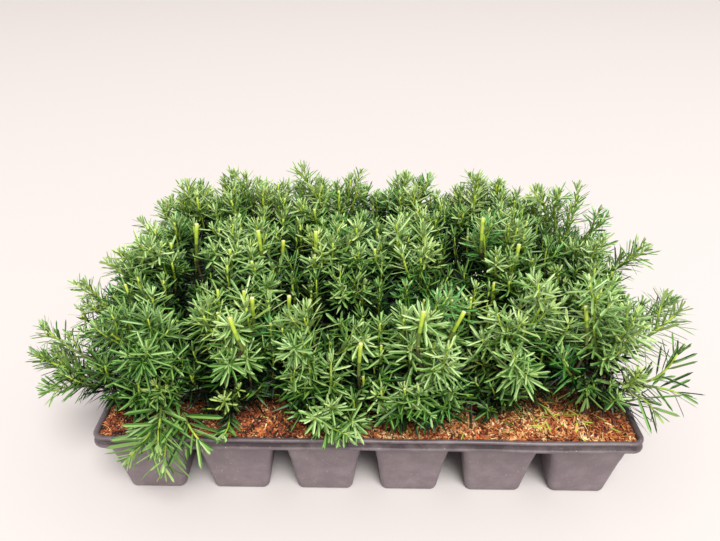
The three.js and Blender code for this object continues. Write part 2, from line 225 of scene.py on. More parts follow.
class MediumFinish(bpy.types.PropertyGroup):
    chips: IntProperty(name="Chips", description="How many bark chips lie on the bed", default=10000)
    fibres: IntProperty(name="Fibres", description="How many coir fibres lie on the bed", default=1500)
    grain: FloatProperty(
        name="Grain", description="Size of the grains of the bed itself", unit="LENGTH", default=0.0022,
    )
    relief: FloatProperty(
        name="Relief", description="How far the bed rises and falls", unit="LENGTH", default=0.0022,
    )


class ShootForm(bpy.types.PropertyGroup):
    needle_length: FloatProperty(
        name="Needle length", description="Length of the longest needles", unit="LENGTH", default=0.025,
    )
    needle_width: FloatProperty(
        name="Needle width", description="Width of a full needle", unit="LENGTH", default=0.0026,
    )
    spacing: FloatProperty(
        name="Spacing", description="Way from one needle to the next", unit="LENGTH", default=0.00109,
    )
    riser_spacing: FloatProperty(
        name="Riser spacing", description="Way between upright shoots", unit="LENGTH", default=0.0225,
    )
    twig: FloatProperty(
        name="Twig", description="Radius of a main shoot at its foot", unit="LENGTH", default=0.0016,
    )


class StudioLight(bpy.types.PropertyGroup):
    floor: FloatVectorProperty(
        name="Floor", description="Colour of the pale floor", subtype="COLOR", default=srgb(190, 185, 183),
    )
    dome: FloatProperty(name="Dome", description="Strength of the light from all round", default=0.95)
    key: FloatProperty(name="Key", description="Power of the lamp overhead", unit="POWER", default=1310.0)


# Materials

def plain_finish(name, colour, roughness, shine=0.5):
    """A material of one plain colour."""
    material = bpy.data.materials.new(name)
    material.use_nodes = True
    shader = material.node_tree.nodes["Principled BSDF"]
    shader.inputs["Base Color"].default_value = (*colour, 1)
    shader.inputs["Roughness"].default_value = roughness
    shader.inputs["Specular IOR Level"].default_value = shine
    material.diffuse_color = (*colour, 1)
    return material


class Pattern:
    """The node tree of a patterned material, with short ways to add to it."""

    def __init__(self, name):
        self.material = bpy.data.materials.new(name)
        self.material.use_nodes = True
        self.tree = self.material.node_tree
        self.place = self.node("ShaderNodeTexCoord").outputs["Object"]

    def feed(self, node, inputs):
        """Links each input of a node to the socket given for it, or sets it to the value given."""
        for key, value in inputs.items():
            if isinstance(value, bpy.types.NodeSocket):
                self.tree.links.new(value, node.inputs[key])
            else:
                node.inputs[key].default_value = value

    def node(self, kind, inputs=None, **settings):
        made = self.tree.nodes.new(kind)
        for key, value in settings.items():
            setattr(made, key, value)
        self.feed(made, inputs or {})
        return made

    def noise(self, scale, detail=3.0, roughness=0.55, place=None):
        inputs = {"Vector": place or self.place, "Scale": scale, "Detail": detail, "Roughness": roughness}
        return self.node("ShaderNodeTexNoise", inputs).outputs

    def ramp(self, factor, stops, interpolation="LINEAR"):
        """A colour ramp over `factor`. A stop is a place from 0 to 1 and a colour."""
        made = self.node("ShaderNodeValToRGB", {"Fac": factor})
        made.color_ramp.interpolation = interpolation
        elements = made.color_ramp.elements
        while len(elements) < len(stops):
            elements.new(0.5)
        for element, (at, colour) in zip(elements, stops):
            element.position = at
            element.color = (*colour, 1)
        return made.outputs["Color"]

    def mix(self, factor, first, second):
        """A mix of two colours, each a socket or a plain colour."""
        first, second = (
            colour if isinstance(colour, bpy.types.NodeSocket) else (*colour, 1) for colour in (first, second)
        )
        inputs = {"Factor": factor, 6: first, 7: second}
        return self.node("ShaderNodeMix", inputs, data_type="RGBA").outputs[2]

    def range(self, value, low, high, new_low, new_high):
        inputs = {"Value": value, "From Min": low, "From Max": high, "To Min": new_low, "To Max": new_high}
        return self.node("ShaderNodeMapRange", inputs).outputs["Result"]

    def finish(self, colour, roughness, height, strength, distance):
        """Dresses the shader and raises its bumps, and gives the material."""
        bump = self.node("ShaderNodeBump", {"Height": height, "Strength": strength, "Distance": distance})
        inputs = {"Base Color": colour, "Roughness": roughness, "Normal": bump.outputs["Normal"]}
        self.feed(self.tree.nodes["Principled BSDF"], inputs)
        return self.material


# The span of heights over which the dust on the rim changes, in metres, and how much lies at shares of it.
# The amounts are partly real dust, heavy on the cells, and partly painted light and shade: raised just under
# the lip, where the lip shades the cells, lowered at the lip's foot to dim its highlight, and near none on
# the rim's dark band.
RIM_SPAN = (0.070, 0.090)
DUST_AND_SHADING_UP_RIM = (
    (0.0, 0.85), (0.3, 0.66), (0.42, 0.5), (0.5, 0.4), (0.56, 0.05), (0.8, 0.0), (0.9, 0.35), (1.0, 0.4),
)
SCUFFED = srgb(196, 184, 184)


def tray_plastic(finish):
    """Satin grey plastic, clean at the rim, with a dried coat of dust, specks and scuffs on the cells.

    The dust's amount by height also paints light and shade on the rim and just under its lip.
    """
    plastic = Pattern("dusty grey plastic")
    greys = [(at, tuple(share * c for c in finish.plastic)) for at, share in ((0.32, 0.86), (0.7, 1.12))]
    base = plastic.ramp(plastic.noise(22.0, 5.0, 0.6)["Fac"], greys)
    height = plastic.node("ShaderNodeSeparateXYZ", {"Vector": plastic.place}).outputs["Z"]
    up_rim = plastic.range(height, *RIM_SPAN, 0.0, 1.0)
    # Dust by height, which also paints light and shade: brighter under the lip, darker at its foot and on the
    # band.
    dust_and_shading_share = plastic.ramp(up_rim, [(at, (share,) * 3) for at, share in DUST_AND_SHADING_UP_RIM])
    dust_and_shading = plastic.mix(dust_and_shading_share, base, finish.dust)
    scuffs = plastic.range(plastic.noise(42.0, 5.0, 0.7)["Fac"], 0.42, 0.74, 0.0, 0.17)
    specks = plastic.range(plastic.noise(620.0, 2.0, 0.5)["Fac"], 0.7, 0.76, 0.0, 0.85)
    colour = plastic.mix(specks, plastic.mix(scuffs, dust_and_shading, SCUFFED), SCUFFED)
    gloss = plastic.range(height, 0.0765, 0.07, 0.42, 0.55)
    return plastic.finish(colour, gloss, plastic.noise(900.0, 2.0)["Fac"], 0.12, 0.0003)


BED_SHADES = (
    (0.00, srgb(20, 9, 5)), (0.12, srgb(64, 30, 14)), (0.26, srgb(112, 62, 32)), (0.44, srgb(150, 92, 46)),
    (0.60, srgb(92, 46, 22)), (0.72, srgb(184, 124, 70)), (0.86, srgb(206, 160, 104)),
    (0.95, srgb(42, 18, 10)),
)


def medium_grains(finish):
    """Grains of bark and coir in reds, oranges and near black, with painted shade in the gaps between them.
    """
    grains = Pattern("bark and coir bed")
    moved = grains.node(
        "ShaderNodeVectorMath", {0: grains.noise(260.0, 2.0)["Color"], 1: (0.004,) * 3, 2: grains.place},
        operation="MULTIPLY_ADD",
    )
    cells = grains.node(
        "ShaderNodeTexVoronoi", {"Vector": moved.outputs["Vector"], "Scale": 1 / finish.grain},
    ).outputs
    shade = grains.node("ShaderNodeSeparateColor", {"Color": cells["Color"]}).outputs["Red"]
    # Painted shade: near black mixed in towards each grain's edge, in the gaps between the grains.
    edges = grains.range(cells["Distance"], 0.25, 0.75, 1.0, 0.35)
    colour = grains.mix(edges, srgb(22, 11, 8), grains.ramp(shade, BED_SHADES, "CONSTANT"))
    return grains.finish(colour, 0.85, cells["Distance"], 0.8, 0.0015)


def stem_bark():
    """Grey-brown bark in thin upright flakes, with reddish cracks."""
    bark = Pattern("flaking yew bark")
    stretch = bark.node("ShaderNodeMapping", {"Vector": bark.place, "Scale": (1.0, 1.0, 0.22)})
    flakes = bark.noise(620.0, 4.0, 0.5, stretch.outputs["Vector"])["Fac"]
    browns = (
        (0.3, srgb(40, 24, 16)), (0.48, srgb(72, 52, 34)), (0.62, srgb(94, 76, 48)), (0.8, srgb(112, 98, 64)),
    )
    return bark.finish(bark.ramp(flakes, browns), 0.8, flakes, 0.6, 0.0008)


# Greens of the needles, from the deepest in the crown to the newest at a tip, in three near families.
# The darkest are painted shade for needles deep in the crown; the palest, greyed, are partly a painted sheen.
NEEDLE_GREENS = {
    "leaf": (
        srgb(4, 16, 5), srgb(17, 43, 11), srgb(42, 81, 24), srgb(74, 115, 42), srgb(106, 146, 68),
        srgb(140, 170, 102), srgb(168, 190, 130), srgb(190, 206, 122),
    ),
    "sea": (srgb(16, 46, 15), srgb(34, 80, 28), srgb(56, 112, 46), srgb(92, 148, 76)),
    "moss": (srgb(42, 60, 24), srgb(74, 96, 38), srgb(110, 136, 62), srgb(150, 174, 94)),
}
# Backs of the needles; the first, near black, is painted shade for those deep in the crown.
UNDERSIDES = (srgb(26, 42, 16), srgb(100, 130, 66), srgb(150, 176, 104))
# A twig's bark from its foot to its tip, and last its cut wood.
TWIG_COLOURS = (
    srgb(50, 38, 20), srgb(84, 100, 32), srgb(134, 162, 44), srgb(162, 182, 56), srgb(214, 206, 150),
)
CUT_WOOD = 4
CHIP_COLOURS = (
    srgb(16, 7, 5), srgb(42, 17, 9), srgb(88, 35, 17), srgb(132, 58, 27), srgb(166, 84, 40),
    srgb(190, 113, 58), srgb(208, 148, 88), srgb(222, 184, 128), srgb(236, 214, 168),
)
CLIPPING_COLOURS = (srgb(176, 184, 62), srgb(146, 166, 54), srgb(90, 124, 48), srgb(206, 202, 104))


def plain_set(name, colours, roughness, shine=0.5):
    return [plain_finish(f"{name} {i + 1}", colour, roughness, shine) for i, colour in enumerate(colours)]


@lru_cache(maxsize=None)
def needle_finishes():
    """The plain materials of the needles: every green, then the undersides."""
    greens = [
        plain_finish(f"{family} green {i + 1}", colour, 0.42, min(0.2 + 0.07 * i, 0.42))
        for family, colours in NEEDLE_GREENS.items()
        for i, colour in enumerate(colours)
    ]
    return greens + plain_set("needle underside", UNDERSIDES, 0.6, 0.35)


@lru_cache(maxsize=None)
def twig_finishes():
    return plain_set("twig bark", TWIG_COLOURS, 0.5)


# Joined meshes

def edges_of(verts):
    return list({edge for v in verts for edge in v.link_edges})


class Heap:
    """Points and faces of many small things, gathered for one joined mesh."""

    def __init__(self):
        self.points = []
        self.corners = []
        self.sizes = []
        self.slots = []
        self.count = 0

    def add(self, points, face_sets):
        """Adds points and sets of faces. A set is an array of corners, a row a face, and the faces' slots."""
        self.points.append(points)
        for faces, slots in face_sets:
            self.corners.append((faces + self.count).ravel())
            self.sizes.append(np.full(len(faces), faces.shape[1]))
            self.slots.append(np.broadcast_to(slots, len(faces)))
        self.count += len(points)

    def mesh(self, name, smooth):
        mesh = bpy.data.meshes.new(name)
        points = np.concatenate(self.points) * MM
        corners = np.concatenate(self.corners)
        sizes = np.concatenate(self.sizes)
        mesh.vertices.add(len(points))
        mesh.vertices.foreach_set("co", points.astype(np.float32).ravel())
        mesh.loops.add(len(corners))
        mesh.loops.foreach_set("vertex_index", corners.astype(np.int32))
        mesh.polygons.add(len(sizes))
        mesh.polygons.foreach_set("loop_start", (np.cumsum(sizes) - sizes).astype(np.int32))
        mesh.polygons.foreach_set("material_index", np.concatenate(self.slots).astype(np.int32))
        mesh.polygons.foreach_set("use_smooth", np.full(len(sizes), smooth))
        mesh.update(calc_edges=True)
        mesh.validate()
        return mesh

    def tube(self, points, radii, sides, slots, cut_slot=None):
        """Adds a round twig along points. `slots` has one number for each stretch between two points."""
        ahead = unit(np.gradient(points, axis=0))
        least = np.eye(3)[np.argmin(np.abs(points[-1] - points[0]))]
        side = unit(np.cross(ahead, least))
        other = np.cross(ahead, side)
        turn = FULL_TURN * np.arange(sides) / sides
        ring = side[:, None] * np.cos(turn)[None, :, None] + other[:, None] * np.sin(turn)[None, :, None]
        skin = points[:, None] + ring * np.asarray(radii)[:, None, None]
        here = np.arange(sides)[None]
        after = (here + 1) % sides
        low = np.arange(len(points) - 1)[:, None] * sides
        high = low + sides
        quads = np.stack([low + here, low + after, high + after, high + here], -1).reshape(-1, 4)
        tip = slots[-1] if cut_slot is None else cut_slot
        ends = [(here[:, ::-1], slots[0]), (high[-1] + here, tip)]
        self.add(skin.reshape(-1, 3), [(quads, np.repeat(slots, sides)), *ends])


def unit(vectors):
    return vectors / np.maximum(np.linalg.norm(vectors, axis=-1, keepdims=True), 1e-9)


def square_to(way, vectors):
    """Unit vectors turned square to the ways beside them."""
    return unit(vectors - way * np.sum(vectors * way, 1, keepdims=True))


def shown(name, data):
    """An object of a mesh, lamp or camera, linked to the scene."""
    made = bpy.data.objects.new(name, data)
    bpy.context.scene.collection.objects.link(made)
    return made


def put(mesh, materials, nodes=()):
    """Makes a finished mesh a piece of the tray, standing for the nodes named."""
    for material in materials:
        mesh.materials.append(material)
    piece = shown(mesh.name, mesh)
    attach(piece, "root")
    if nodes:
        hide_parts(*nodes)
    return piece


def mesh_from(bm, name, crease):
    """Turns a bmesh in millimetres into a smooth mesh in metres, sharp where it bends by more than crease."""
    bmesh.ops.scale(bm, vec=(MM, MM, MM), verts=bm.verts)
    for face in bm.faces:
        face.smooth = True
    mesh = bpy.data.meshes.new(name)
    bm.to_mesh(mesh)
    bm.free()
    mesh.set_sharp_from_angle(angle=crease)
    return mesh


# Tray

CORNER_STEPS = 8


def corner_ring(bm, shape, centre=(0, 0), long_cuts=0, short_cuts=0):
    """A level ring round a rectangle with rounded corners: a circle pulled apart at its quarters.

    A shape is the length, width, corner radius and height of a ring.
    """
    length, width, radius, height = shape
    steps = 4 * CORNER_STEPS
    ring = bmesh.ops.create_circle(bm, segments=steps, radius=radius, cap_ends=False)["verts"]
    bmesh.ops.rotate(bm, verts=ring, cent=(0, 0, 0), matrix=Matrix.Rotation(math.pi / steps, 3, "Z"))
    pull = (length / 2 - radius, width / 2 - radius)
    for side in (-1, 1):
        for end in (-1, 1):
            quarter = [v for v in ring if v.co.x * side > 0 and v.co.y * end > 0]
            bmesh.ops.translate(bm, verts=quarter, vec=(side * pull[0], end * pull[1], 0))
    edges = edges_of(ring)
    straight = FULL_TURN * radius / steps * 1.5
    for cuts, axis in ((long_cuts, 0), (short_cuts, 1)):
        spans = [e for e in edges if abs(e.verts[0].co[axis] - e.verts[1].co[axis]) > straight]
        for span in spans:
            at = span.verts[0]
            for left in range(cuts, 0, -1):
                piece, at = bmesh.utils.edge_split(span, at, 1 / (left + 1))
                edges.append(piece)
                ring.append(at)
    bmesh.ops.translate(bm, verts=ring, vec=(*centre, height))
    return edges


def skin_over(bm, rings):
    """Joins each ring of edges to the next."""
    for low, high in zip(rings, rings[1:]):
        bmesh.ops.bridge_loops(bm, edges=low + high)


def drawn_on(bm, ring, shapes, centre=(0, 0)):
    """Extrudes a ring through shapes, the first of them its own, and gives the edges of the last."""
    for old, new in zip(shapes, shapes[1:]):
        made = bmesh.ops.extrude_edge_only(bm, edges=ring)["geom"]
        verts = {g for g in made if isinstance(g, bmesh.types.BMVert)}
        for v in verts:
            for axis in (0, 1):
                offset = v.co[axis] - centre[axis]
                pull, far = old[axis] / 2 - old[2], abs(offset)
                corner = max(far - pull, 0) * new[2] / old[2]
                straight = min(far, pull) * (new[axis] / 2 - new[2]) / max(pull, 1e-6)
                v.co[axis] = centre[axis] + math.copysign(straight + corner, offset)
            v.co.z = new[3]
        ring = [g for g in made if isinstance(g, bmesh.types.BMEdge) and verts.issuperset(g.verts)]
    return ring


def cell_centre(row, column):
    return (column - (COLUMNS - 1) / 2) * PITCH, (row - (ROWS - 1) / 2) * PITCH


def cell_size(height):
    """How wide a cell is inside at a height."""
    return CELL_FLOOR + (MOUTH - CELL_FLOOR) * (height - WALL) / (DECK_TOP - WALL)


def cell_shapes():
    """One cell from its rounded mouth past a faint ledge to its drain hole."""
    sides = [
        (MOUTH + 1.6, 7.6, DECK_TOP), (MOUTH + 0.5, 7.0, 80.7), (MOUTH - 0.2, 6.6, 79.8),
        (cell_size(54), 6.2, 54), (cell_size(53) - 0.7, 6.0, 53), (cell_size(30) - 0.5, 5.7, 30),
        (cell_size(9) - 0.1, 5.4, 9), (cell_size(4), 5.2, 4), (CELL_FLOOR - 0.7, 4.8, 2.3),
        (CELL_FLOOR - 2.6, 4.0, WALL), (2 * DRAIN_RADIUS + 0.01, DRAIN_RADIUS, WALL),
    ]
    return [(size, size, radius, height) for size, radius, height in sides]


class NURSERY_OT_tray(bpy.types.Operator):
    """Models the moulded tray: a rim with a lip and a bead, a deck and eighteen tapered cells"""

    bl_idname = "nursery.tray"
    bl_label = "Nursery tray"

    def execute(self, context):
        finish = context.scene.yew_tray_finish
        bm = bmesh.new()
        shapes = [
            (TRAY_LENGTH - 2 * inset, TRAY_WIDTH - 2 * inset, TRAY_CORNER - inset, height)
            for inset, height in RIM_SKIN
        ]
        lip = corner_ring(bm, shapes[0], long_cuts=28, short_cuts=13)
        brim = drawn_on(bm, lip, shapes)
        sway = finish.sway / MM
        for v in bm.verts:
            drift = noise.noise_vector(v.co * 0.011)
            v.co += Vector((drift.x, drift.y, drift.z * 0.8)) * sway * 2

        place = Matrix.Translation((0, 0, DECK_TOP)) @ Matrix.Diagonal((COLUMNS * PITCH, ROWS * PITCH, 1, 1))
        deck = bmesh.ops.create_grid(bm, x_segments=COLUMNS, y_segments=ROWS, size=0.5, matrix=place)["verts"]
        for axis, size in enumerate((TRAY_LENGTH, TRAY_WIDTH)):
            edge = size / 2 - RIM_SKIN[-1][0] - 2
            for v in deck:
                v.co[axis] = max(-edge, min(edge, v.co[axis]))
        plates = list({face for v in deck for face in v.link_faces})
        border = [e for e in edges_of(deck) if e.is_boundary]
        bmesh.ops.bridge_loops(bm, edges=brim + border)
        bmesh.ops.inset_individual(bm, faces=plates, thickness=2.5, use_even_offset=True)
        shapes = cell_shapes()
        for plate in plates:
            middle = plate.calc_center_median()
            centre = ((round(middle.x / PITCH - 0.5) + 0.5) * PITCH, round(middle.y / PITCH) * PITCH)
            mouth = list(plate.edges)
            bmesh.ops.delete(bm, geom=[plate], context="FACES_ONLY")
            edge = corner_ring(bm, shapes[0], centre)
            bmesh.ops.bridge_loops(bm, edges=mouth + edge)
            drawn_on(bm, edge, shapes, centre)
        bmesh.ops.recalc_face_normals(bm, faces=bm.faces)
        highest = max(bm.faces, key=lambda face: face.calc_center_median().z)
        if highest.normal.z < 0:
            bmesh.ops.reverse_faces(bm, faces=bm.faces)
        mesh = mesh_from(bm, "nursery_tray", math.radians(38))
        piece = put(mesh, [tray_plastic(finish)], ["tray"])
        wall = piece.modifiers.new("wall", "SOLIDIFY")
        wall.thickness = WALL * MM
        wall.offset = -1
        wall.use_quality_normals = True
        return {"FINISHED"}


# Growing medium

# The plug of medium in a cell, from its top down: height, corner radius, and how much narrower it is.
PLUG = (
    (DECK_TOP + 1, 5.8, 1.8), (54, 5.6, 1.6), (52, 5.5, 2.3), (9, 5, 1.6), (4, 4.4, 3.2),
    (WALL + GAP, 3.4, 5),
)
# Small hollows in the bed: place, radius and depth.
BED_HOLLOWS = ((250, -120, 8, 4.0), (-12, -60, 12, 2.0), (176, -112, 9, 1.5), (-206, -112, 12, 1.8))
# Where coir shows through the bark, bright and loose: place and radius.
COIR_PATCHES = (
    (-76, -104, 20), (-60, -92, 14), (86, -112, 22), (128, -112, 18), (168, -96, 30), (206, -100, 24),
)


def bed_height(x, y, relief):
    """How high the bed lies over the tray's floor at a place."""
    spot = Vector((x, y, 0))
    height = SOIL_TOP - 0.7 + relief * (0.9 * noise.noise(spot * 0.02) + 0.8 * noise.noise(spot * 0.11))
    height += relief * 0.45 * noise.noise(spot * 0.4)
    for hx, hy, radius, depth in BED_HOLLOWS:
        away = math.hypot(x - hx, y - hy) / radius
        height -= depth * math.exp(-away * away * 1.5)
    return height


class NURSERY_OT_medium(bpy.types.Operator):
    """Models the bed of growing medium over the deck and its plug in each cell"""

    bl_idname = "nursery.medium"
    bl_label = "Growing medium"

    def execute(self, context):
        finish = context.scene.yew_medium_finish
        relief = finish.relief / MM
        bm = bmesh.new()
        size = Matrix.Diagonal((BED_LENGTH, BED_WIDTH, 1, 1))
        bmesh.ops.create_grid(bm, x_segments=240, y_segments=118, size=0.5, matrix=size)
        corner = TRAY_CORNER - (TRAY_LENGTH - BED_LENGTH) / 2
        inner = Vector((BED_LENGTH / 2 - corner, BED_WIDTH / 2 - corner))
        for v in bm.verts:
            over = Vector((abs(v.co.x) - inner.x, abs(v.co.y) - inner.y))
            if over.x > 0 and over.y > 0 and over.length > 0:
                pull = over * (max(over) / over.length)
                v.co.x = math.copysign(inner.x + pull.x, v.co.x)
                v.co.y = math.copysign(inner.y + pull.y, v.co.y)
            v.co.z = bed_height(v.co.x, v.co.y, relief)
        border = [e for e in bm.edges if e.is_boundary]
        skirt = bmesh.ops.extrude_edge_only(bm, edges=border)["geom"]
        foot = [g for g in skirt if isinstance(g, bmesh.types.BMVert)]
        for v in foot:
            v.co.z = DECK_TOP + GAP
        bmesh.ops.contextual_create(bm, geom=[g for g in skirt if isinstance(g, bmesh.types.BMEdge)])
        shapes = [(cell_size(z) - cut, cell_size(z) - cut, radius, z) for z, radius, cut in PLUG]
        for index in range(ROWS * COLUMNS):
            centre = cell_centre(*divmod(index, COLUMNS))
            top = corner_ring(bm, shapes[0], centre)
            bottom = drawn_on(bm, top, shapes, centre)
            for end in (top, bottom):
                bmesh.ops.contextual_create(bm, geom=end)
        bmesh.ops.recalc_face_normals(bm, faces=bm.faces)
        mesh = mesh_from(bm, "medium_bed", math.radians(60))
        put(mesh, [medium_grains(finish)], ["growing_medium"])
        return {"FINISHED"}


# A chip's length, width and thickness: how they are spread, and their limits.
CHIP_SPREADS = ((0.4, 0.6), (-0.6, 0.4), (-1.1, 0.3))
CHIP_LIMITS = ((4.6,), (1.5,), (0.6,))
CHIP_BOX = np.array([(x, y, z) for x in (-1, 1) for y in (-1, 1) for z in (-1, 1)], float)
CHIP_FACES = np.array([(0, 1, 3, 2), (4, 6, 7, 5), (0, 4, 5, 1), (2, 3, 7, 6), (0, 2, 6, 4), (1, 5, 7, 3)])


def turned(rng, count, tilt):
    """Turns for things that lie about: any way round, and tilted by about `tilt`."""
    spin = rng.uniform(0, FULL_TURN, count)
    roll, pitch = rng.normal(0, tilt, (2, count))
    ahead = np.stack([np.cos(spin) * np.cos(pitch), np.sin(spin) * np.cos(pitch), np.sin(pitch)], 1)
    side = unit(np.cross(UP, ahead))
    up = np.cross(ahead, side)
    side_rolled = side * np.cos(roll)[:, None] + up * np.sin(roll)[:, None]
    return np.stack([ahead, side_rolled, np.cross(ahead, side_rolled)], 1)


def on_bed(spots, relief):
    return np.array([(x, y, bed_height(x, y, relief)) for x, y in spots])


def scatter_on_bed(rng, count, front_share, relief):
    """Places on the bed, a share of them crowded along its front, where it is seen."""
    half_x, half_y = BED_LENGTH / 2 - 2, BED_WIDTH / 2 - 2
    x = rng.uniform(-half_x, half_x, count)
    y = rng.uniform(-half_y, half_y, count)
    front = rng.random(count) < front_share
    y = np.where(front, -half_y + np.abs(rng.normal(0, 34, count)) % half_y, y)
    return on_bed(np.stack([x, y], 1), relief)


def bed_glow(places):
    """How bright the bed is at places: tan to the right, red-brown to the left, and coir in its patches."""
    x, y = places[:, 0], places[:, 1]
    share = np.zeros(len(places))
    for px, py, radius in COIR_PATCHES:
        share = np.maximum(share, np.exp(-((x - px) ** 2 + (y - py) ** 2) / radius ** 2))
    spots = [Vector((a, b, 5)) for a, b in places[:, :2]]
    field = np.array([1.1 * noise.noise(spot * 0.036) + 1.3 * noise.noise(spot * 0.11) for spot in spots])
    zone = np.interp(x, (-60, 60), (-0.4, 0.15))
    return np.clip(share * 0.8 + field + zone, -1, 1)


class NURSERY_OT_crumbs(bpy.types.Operator):
    """Strews the bed with bark chips, coir fibres and cut needles"""

    bl_idname = "nursery.crumbs"
    bl_label = "Chips, fibres and clippings"

    def chips(self, rng, finish, relief):
        count = finish.chips
        places = scatter_on_bed(rng, count, 0.8, relief)
        sizes = np.minimum([rng.lognormal(*spread, count) for spread in CHIP_SPREADS], CHIP_LIMITS).T
        corners = CHIP_BOX[None] * sizes[:, None] * rng.uniform(0.5, 1.3, (count, 8, 1))
        corners += rng.normal(0, 0.14, (count, 8, 3)) * sizes[:, None]
        lie = turned(rng, count, 0.5)
        points = np.einsum("nij,njk->nik", corners, lie) + places[:, None]
        points[:, :, 2] += rng.uniform(0.0, 1.2, count)[:, None]
        shade = rng.normal(3.2, 1.7, count) + 2.6 * bed_glow(places)
        slots = np.clip(np.round(shade), 0, len(CHIP_COLOURS) - 1).astype(int)
        faces = (np.arange(count)[:, None, None] * 8 + CHIP_FACES[None]).reshape(-1, 4)
        heap = Heap()
        heap.add(points.reshape(-1, 3), [(faces, np.repeat(slots, 6))])
        put(heap.mesh("bark_chips", False), plain_set("bark chip", CHIP_COLOURS, 0.8))

    def fibres(self, rng, finish, relief):
        count = finish.fibres
        places = scatter_on_bed(rng, count, 0.7, relief)
        heap = Heap()
        for place, glow in zip(places, bed_glow(places)):
            long = rng.uniform(3, 9) if rng.random() < 0.86 else rng.uniform(10, 22)
            steps = np.linspace(0, 1, 5)
            way = rng.uniform(0, FULL_TURN) + rng.normal(0, 1.1) * steps
            line = np.stack([np.cos(way), np.sin(way), np.zeros(5)], 1) * long / 4
            points = place + np.cumsum(line, 0) - line.sum(0) / 2
            points[:, 2] += 0.6 + rng.uniform(0, 1.6) * np.sin(steps * math.pi) + rng.uniform(-0.3, 0.5)
            slot = int(np.clip(round(rng.normal(4.4, 1.3) + 1.2 * glow), 2, 8))
            radii = rng.uniform(0.16, 0.34) * np.array([0.6, 1, 1, 0.9, 0.5])
            heap.tube(points, radii, 3, [slot] * 4)
        put(heap.mesh("coir_fibres", True), plain_set("coir", CHIP_COLOURS, 0.75))

    def clippings(self, rng, relief):
        half = np.array([BED_LENGTH, BED_WIDTH]) / 2 - 10
        spots = np.clip(np.concatenate([
            rng.normal((182, -98), (28, 11), (40, 2)), rng.normal((214, -84), (16, 14), (16, 2)),
            rng.uniform((-240, -124), (240, -92), (16, 2)),
        ]), -half, half)
        count = len(spots)
        foot = on_bed(spots, relief) + 0.9 * UP
        spin = rng.uniform(0, FULL_TURN, count)
        rise = rng.normal(0.1, 0.18, count)
        way = unit(np.stack([np.cos(spin), np.sin(spin), rise], 1))
        face = square_to(way, unit(UP + rng.normal(0, 0.3, (count, 3))))
        needles = Needles(
            foot, way, face, rng.uniform(7, 17, count), rng.uniform(1.3, 2.3, count),
            rng.normal(0, 0.12, count), *rng.choice(4, (3, count), p=(0.42, 0.3, 0.16, 0.12)),
            np.zeros(count, bool),
        )
        heap = Heap()
        needles.heap_up(heap, 0)
        finishes = plain_set("cut needle", CLIPPING_COLOURS, 0.5)
        put(heap.mesh("cut_needles", False), finishes)

    def execute(self, context):
        finish = context.scene.yew_medium_finish
        relief = finish.relief / MM
        rng = np.random.default_rng(CRUMB_SEED)
        self.chips(rng, finish, relief)
        self.fibres(rng, finish, relief)
        self.clippings(rng, relief)
        return {"FINISHED"}


# How a yew grows

class Dice:
    """The seeded random numbers that the solids' growth draws, from 0 to 1."""

    MASK = 0xFFFFFFFF
    STEP = 0x6D2B79F5

    def __init__(self, seed):
        self.state = seed

    def roll(self):
        self.state = (self.state + self.STEP) & self.MASK
        mixed = ((self.state ^ (self.state >> 15)) * (self.state | 1)) & self.MASK
        mixed ^= (mixed + (mixed ^ (mixed >> 7)) * (mixed | 61)) & self.MASK
        return (mixed ^ (mixed >> 14)) / (self.MASK + 1)

    def between(self, low, high):
        return low + (high - low) * self.roll()


@dataclass
class Shoot:
    """A twig with needles: its line, radii at foot and tip, bare share, and what its needles are like."""

    line: np.ndarray
    radii: tuple
    mass: str
    bare: float
    needle: float
    tone: float
    blade: float
    spread: float
    droop: float = 0.0
    family: str = "leaf"
    flatness: float = 0.75
    main: bool = False
    clipped: bool = False
    sparse: float = 1.0
    outside: bool = False


def bent_line(start, bend, tip, steps):
    """Points along a quadratic curve."""
    t = np.linspace(0, 1, steps)[:, None]
    return (1 - t) ** 2 * np.array(start) + 2 * t * (1 - t) * np.array(bend) + t ** 2 * np.array(tip)


def sweeps(low, high, first, span, tips, dice):
    """The main shoots along a twig. Each leaves it level and sweeps up, or over to a hanging tip."""
    lines = []
    for k, tip in enumerate(tips):
        start = low.lerp(high, first + span * (k + 0.5) / len(tips))
        run = tip - start
        rise = 0.34 if run.z > 0 else 0.1
        bend = start + Vector((0.6 * run.x, 0.6 * run.y, rise * run.z))
        lines.append(bent_line(start, bend, tip, 12))
        dice.roll()  # the solids draw the shoot's turn here
    return lines


@dataclass
class Plan:
    """One yew's stem, and its two masses by name: the ends of each one's twig and its main lines."""

    name: str
    foot: Vector
    fork: Vector
    masses: dict


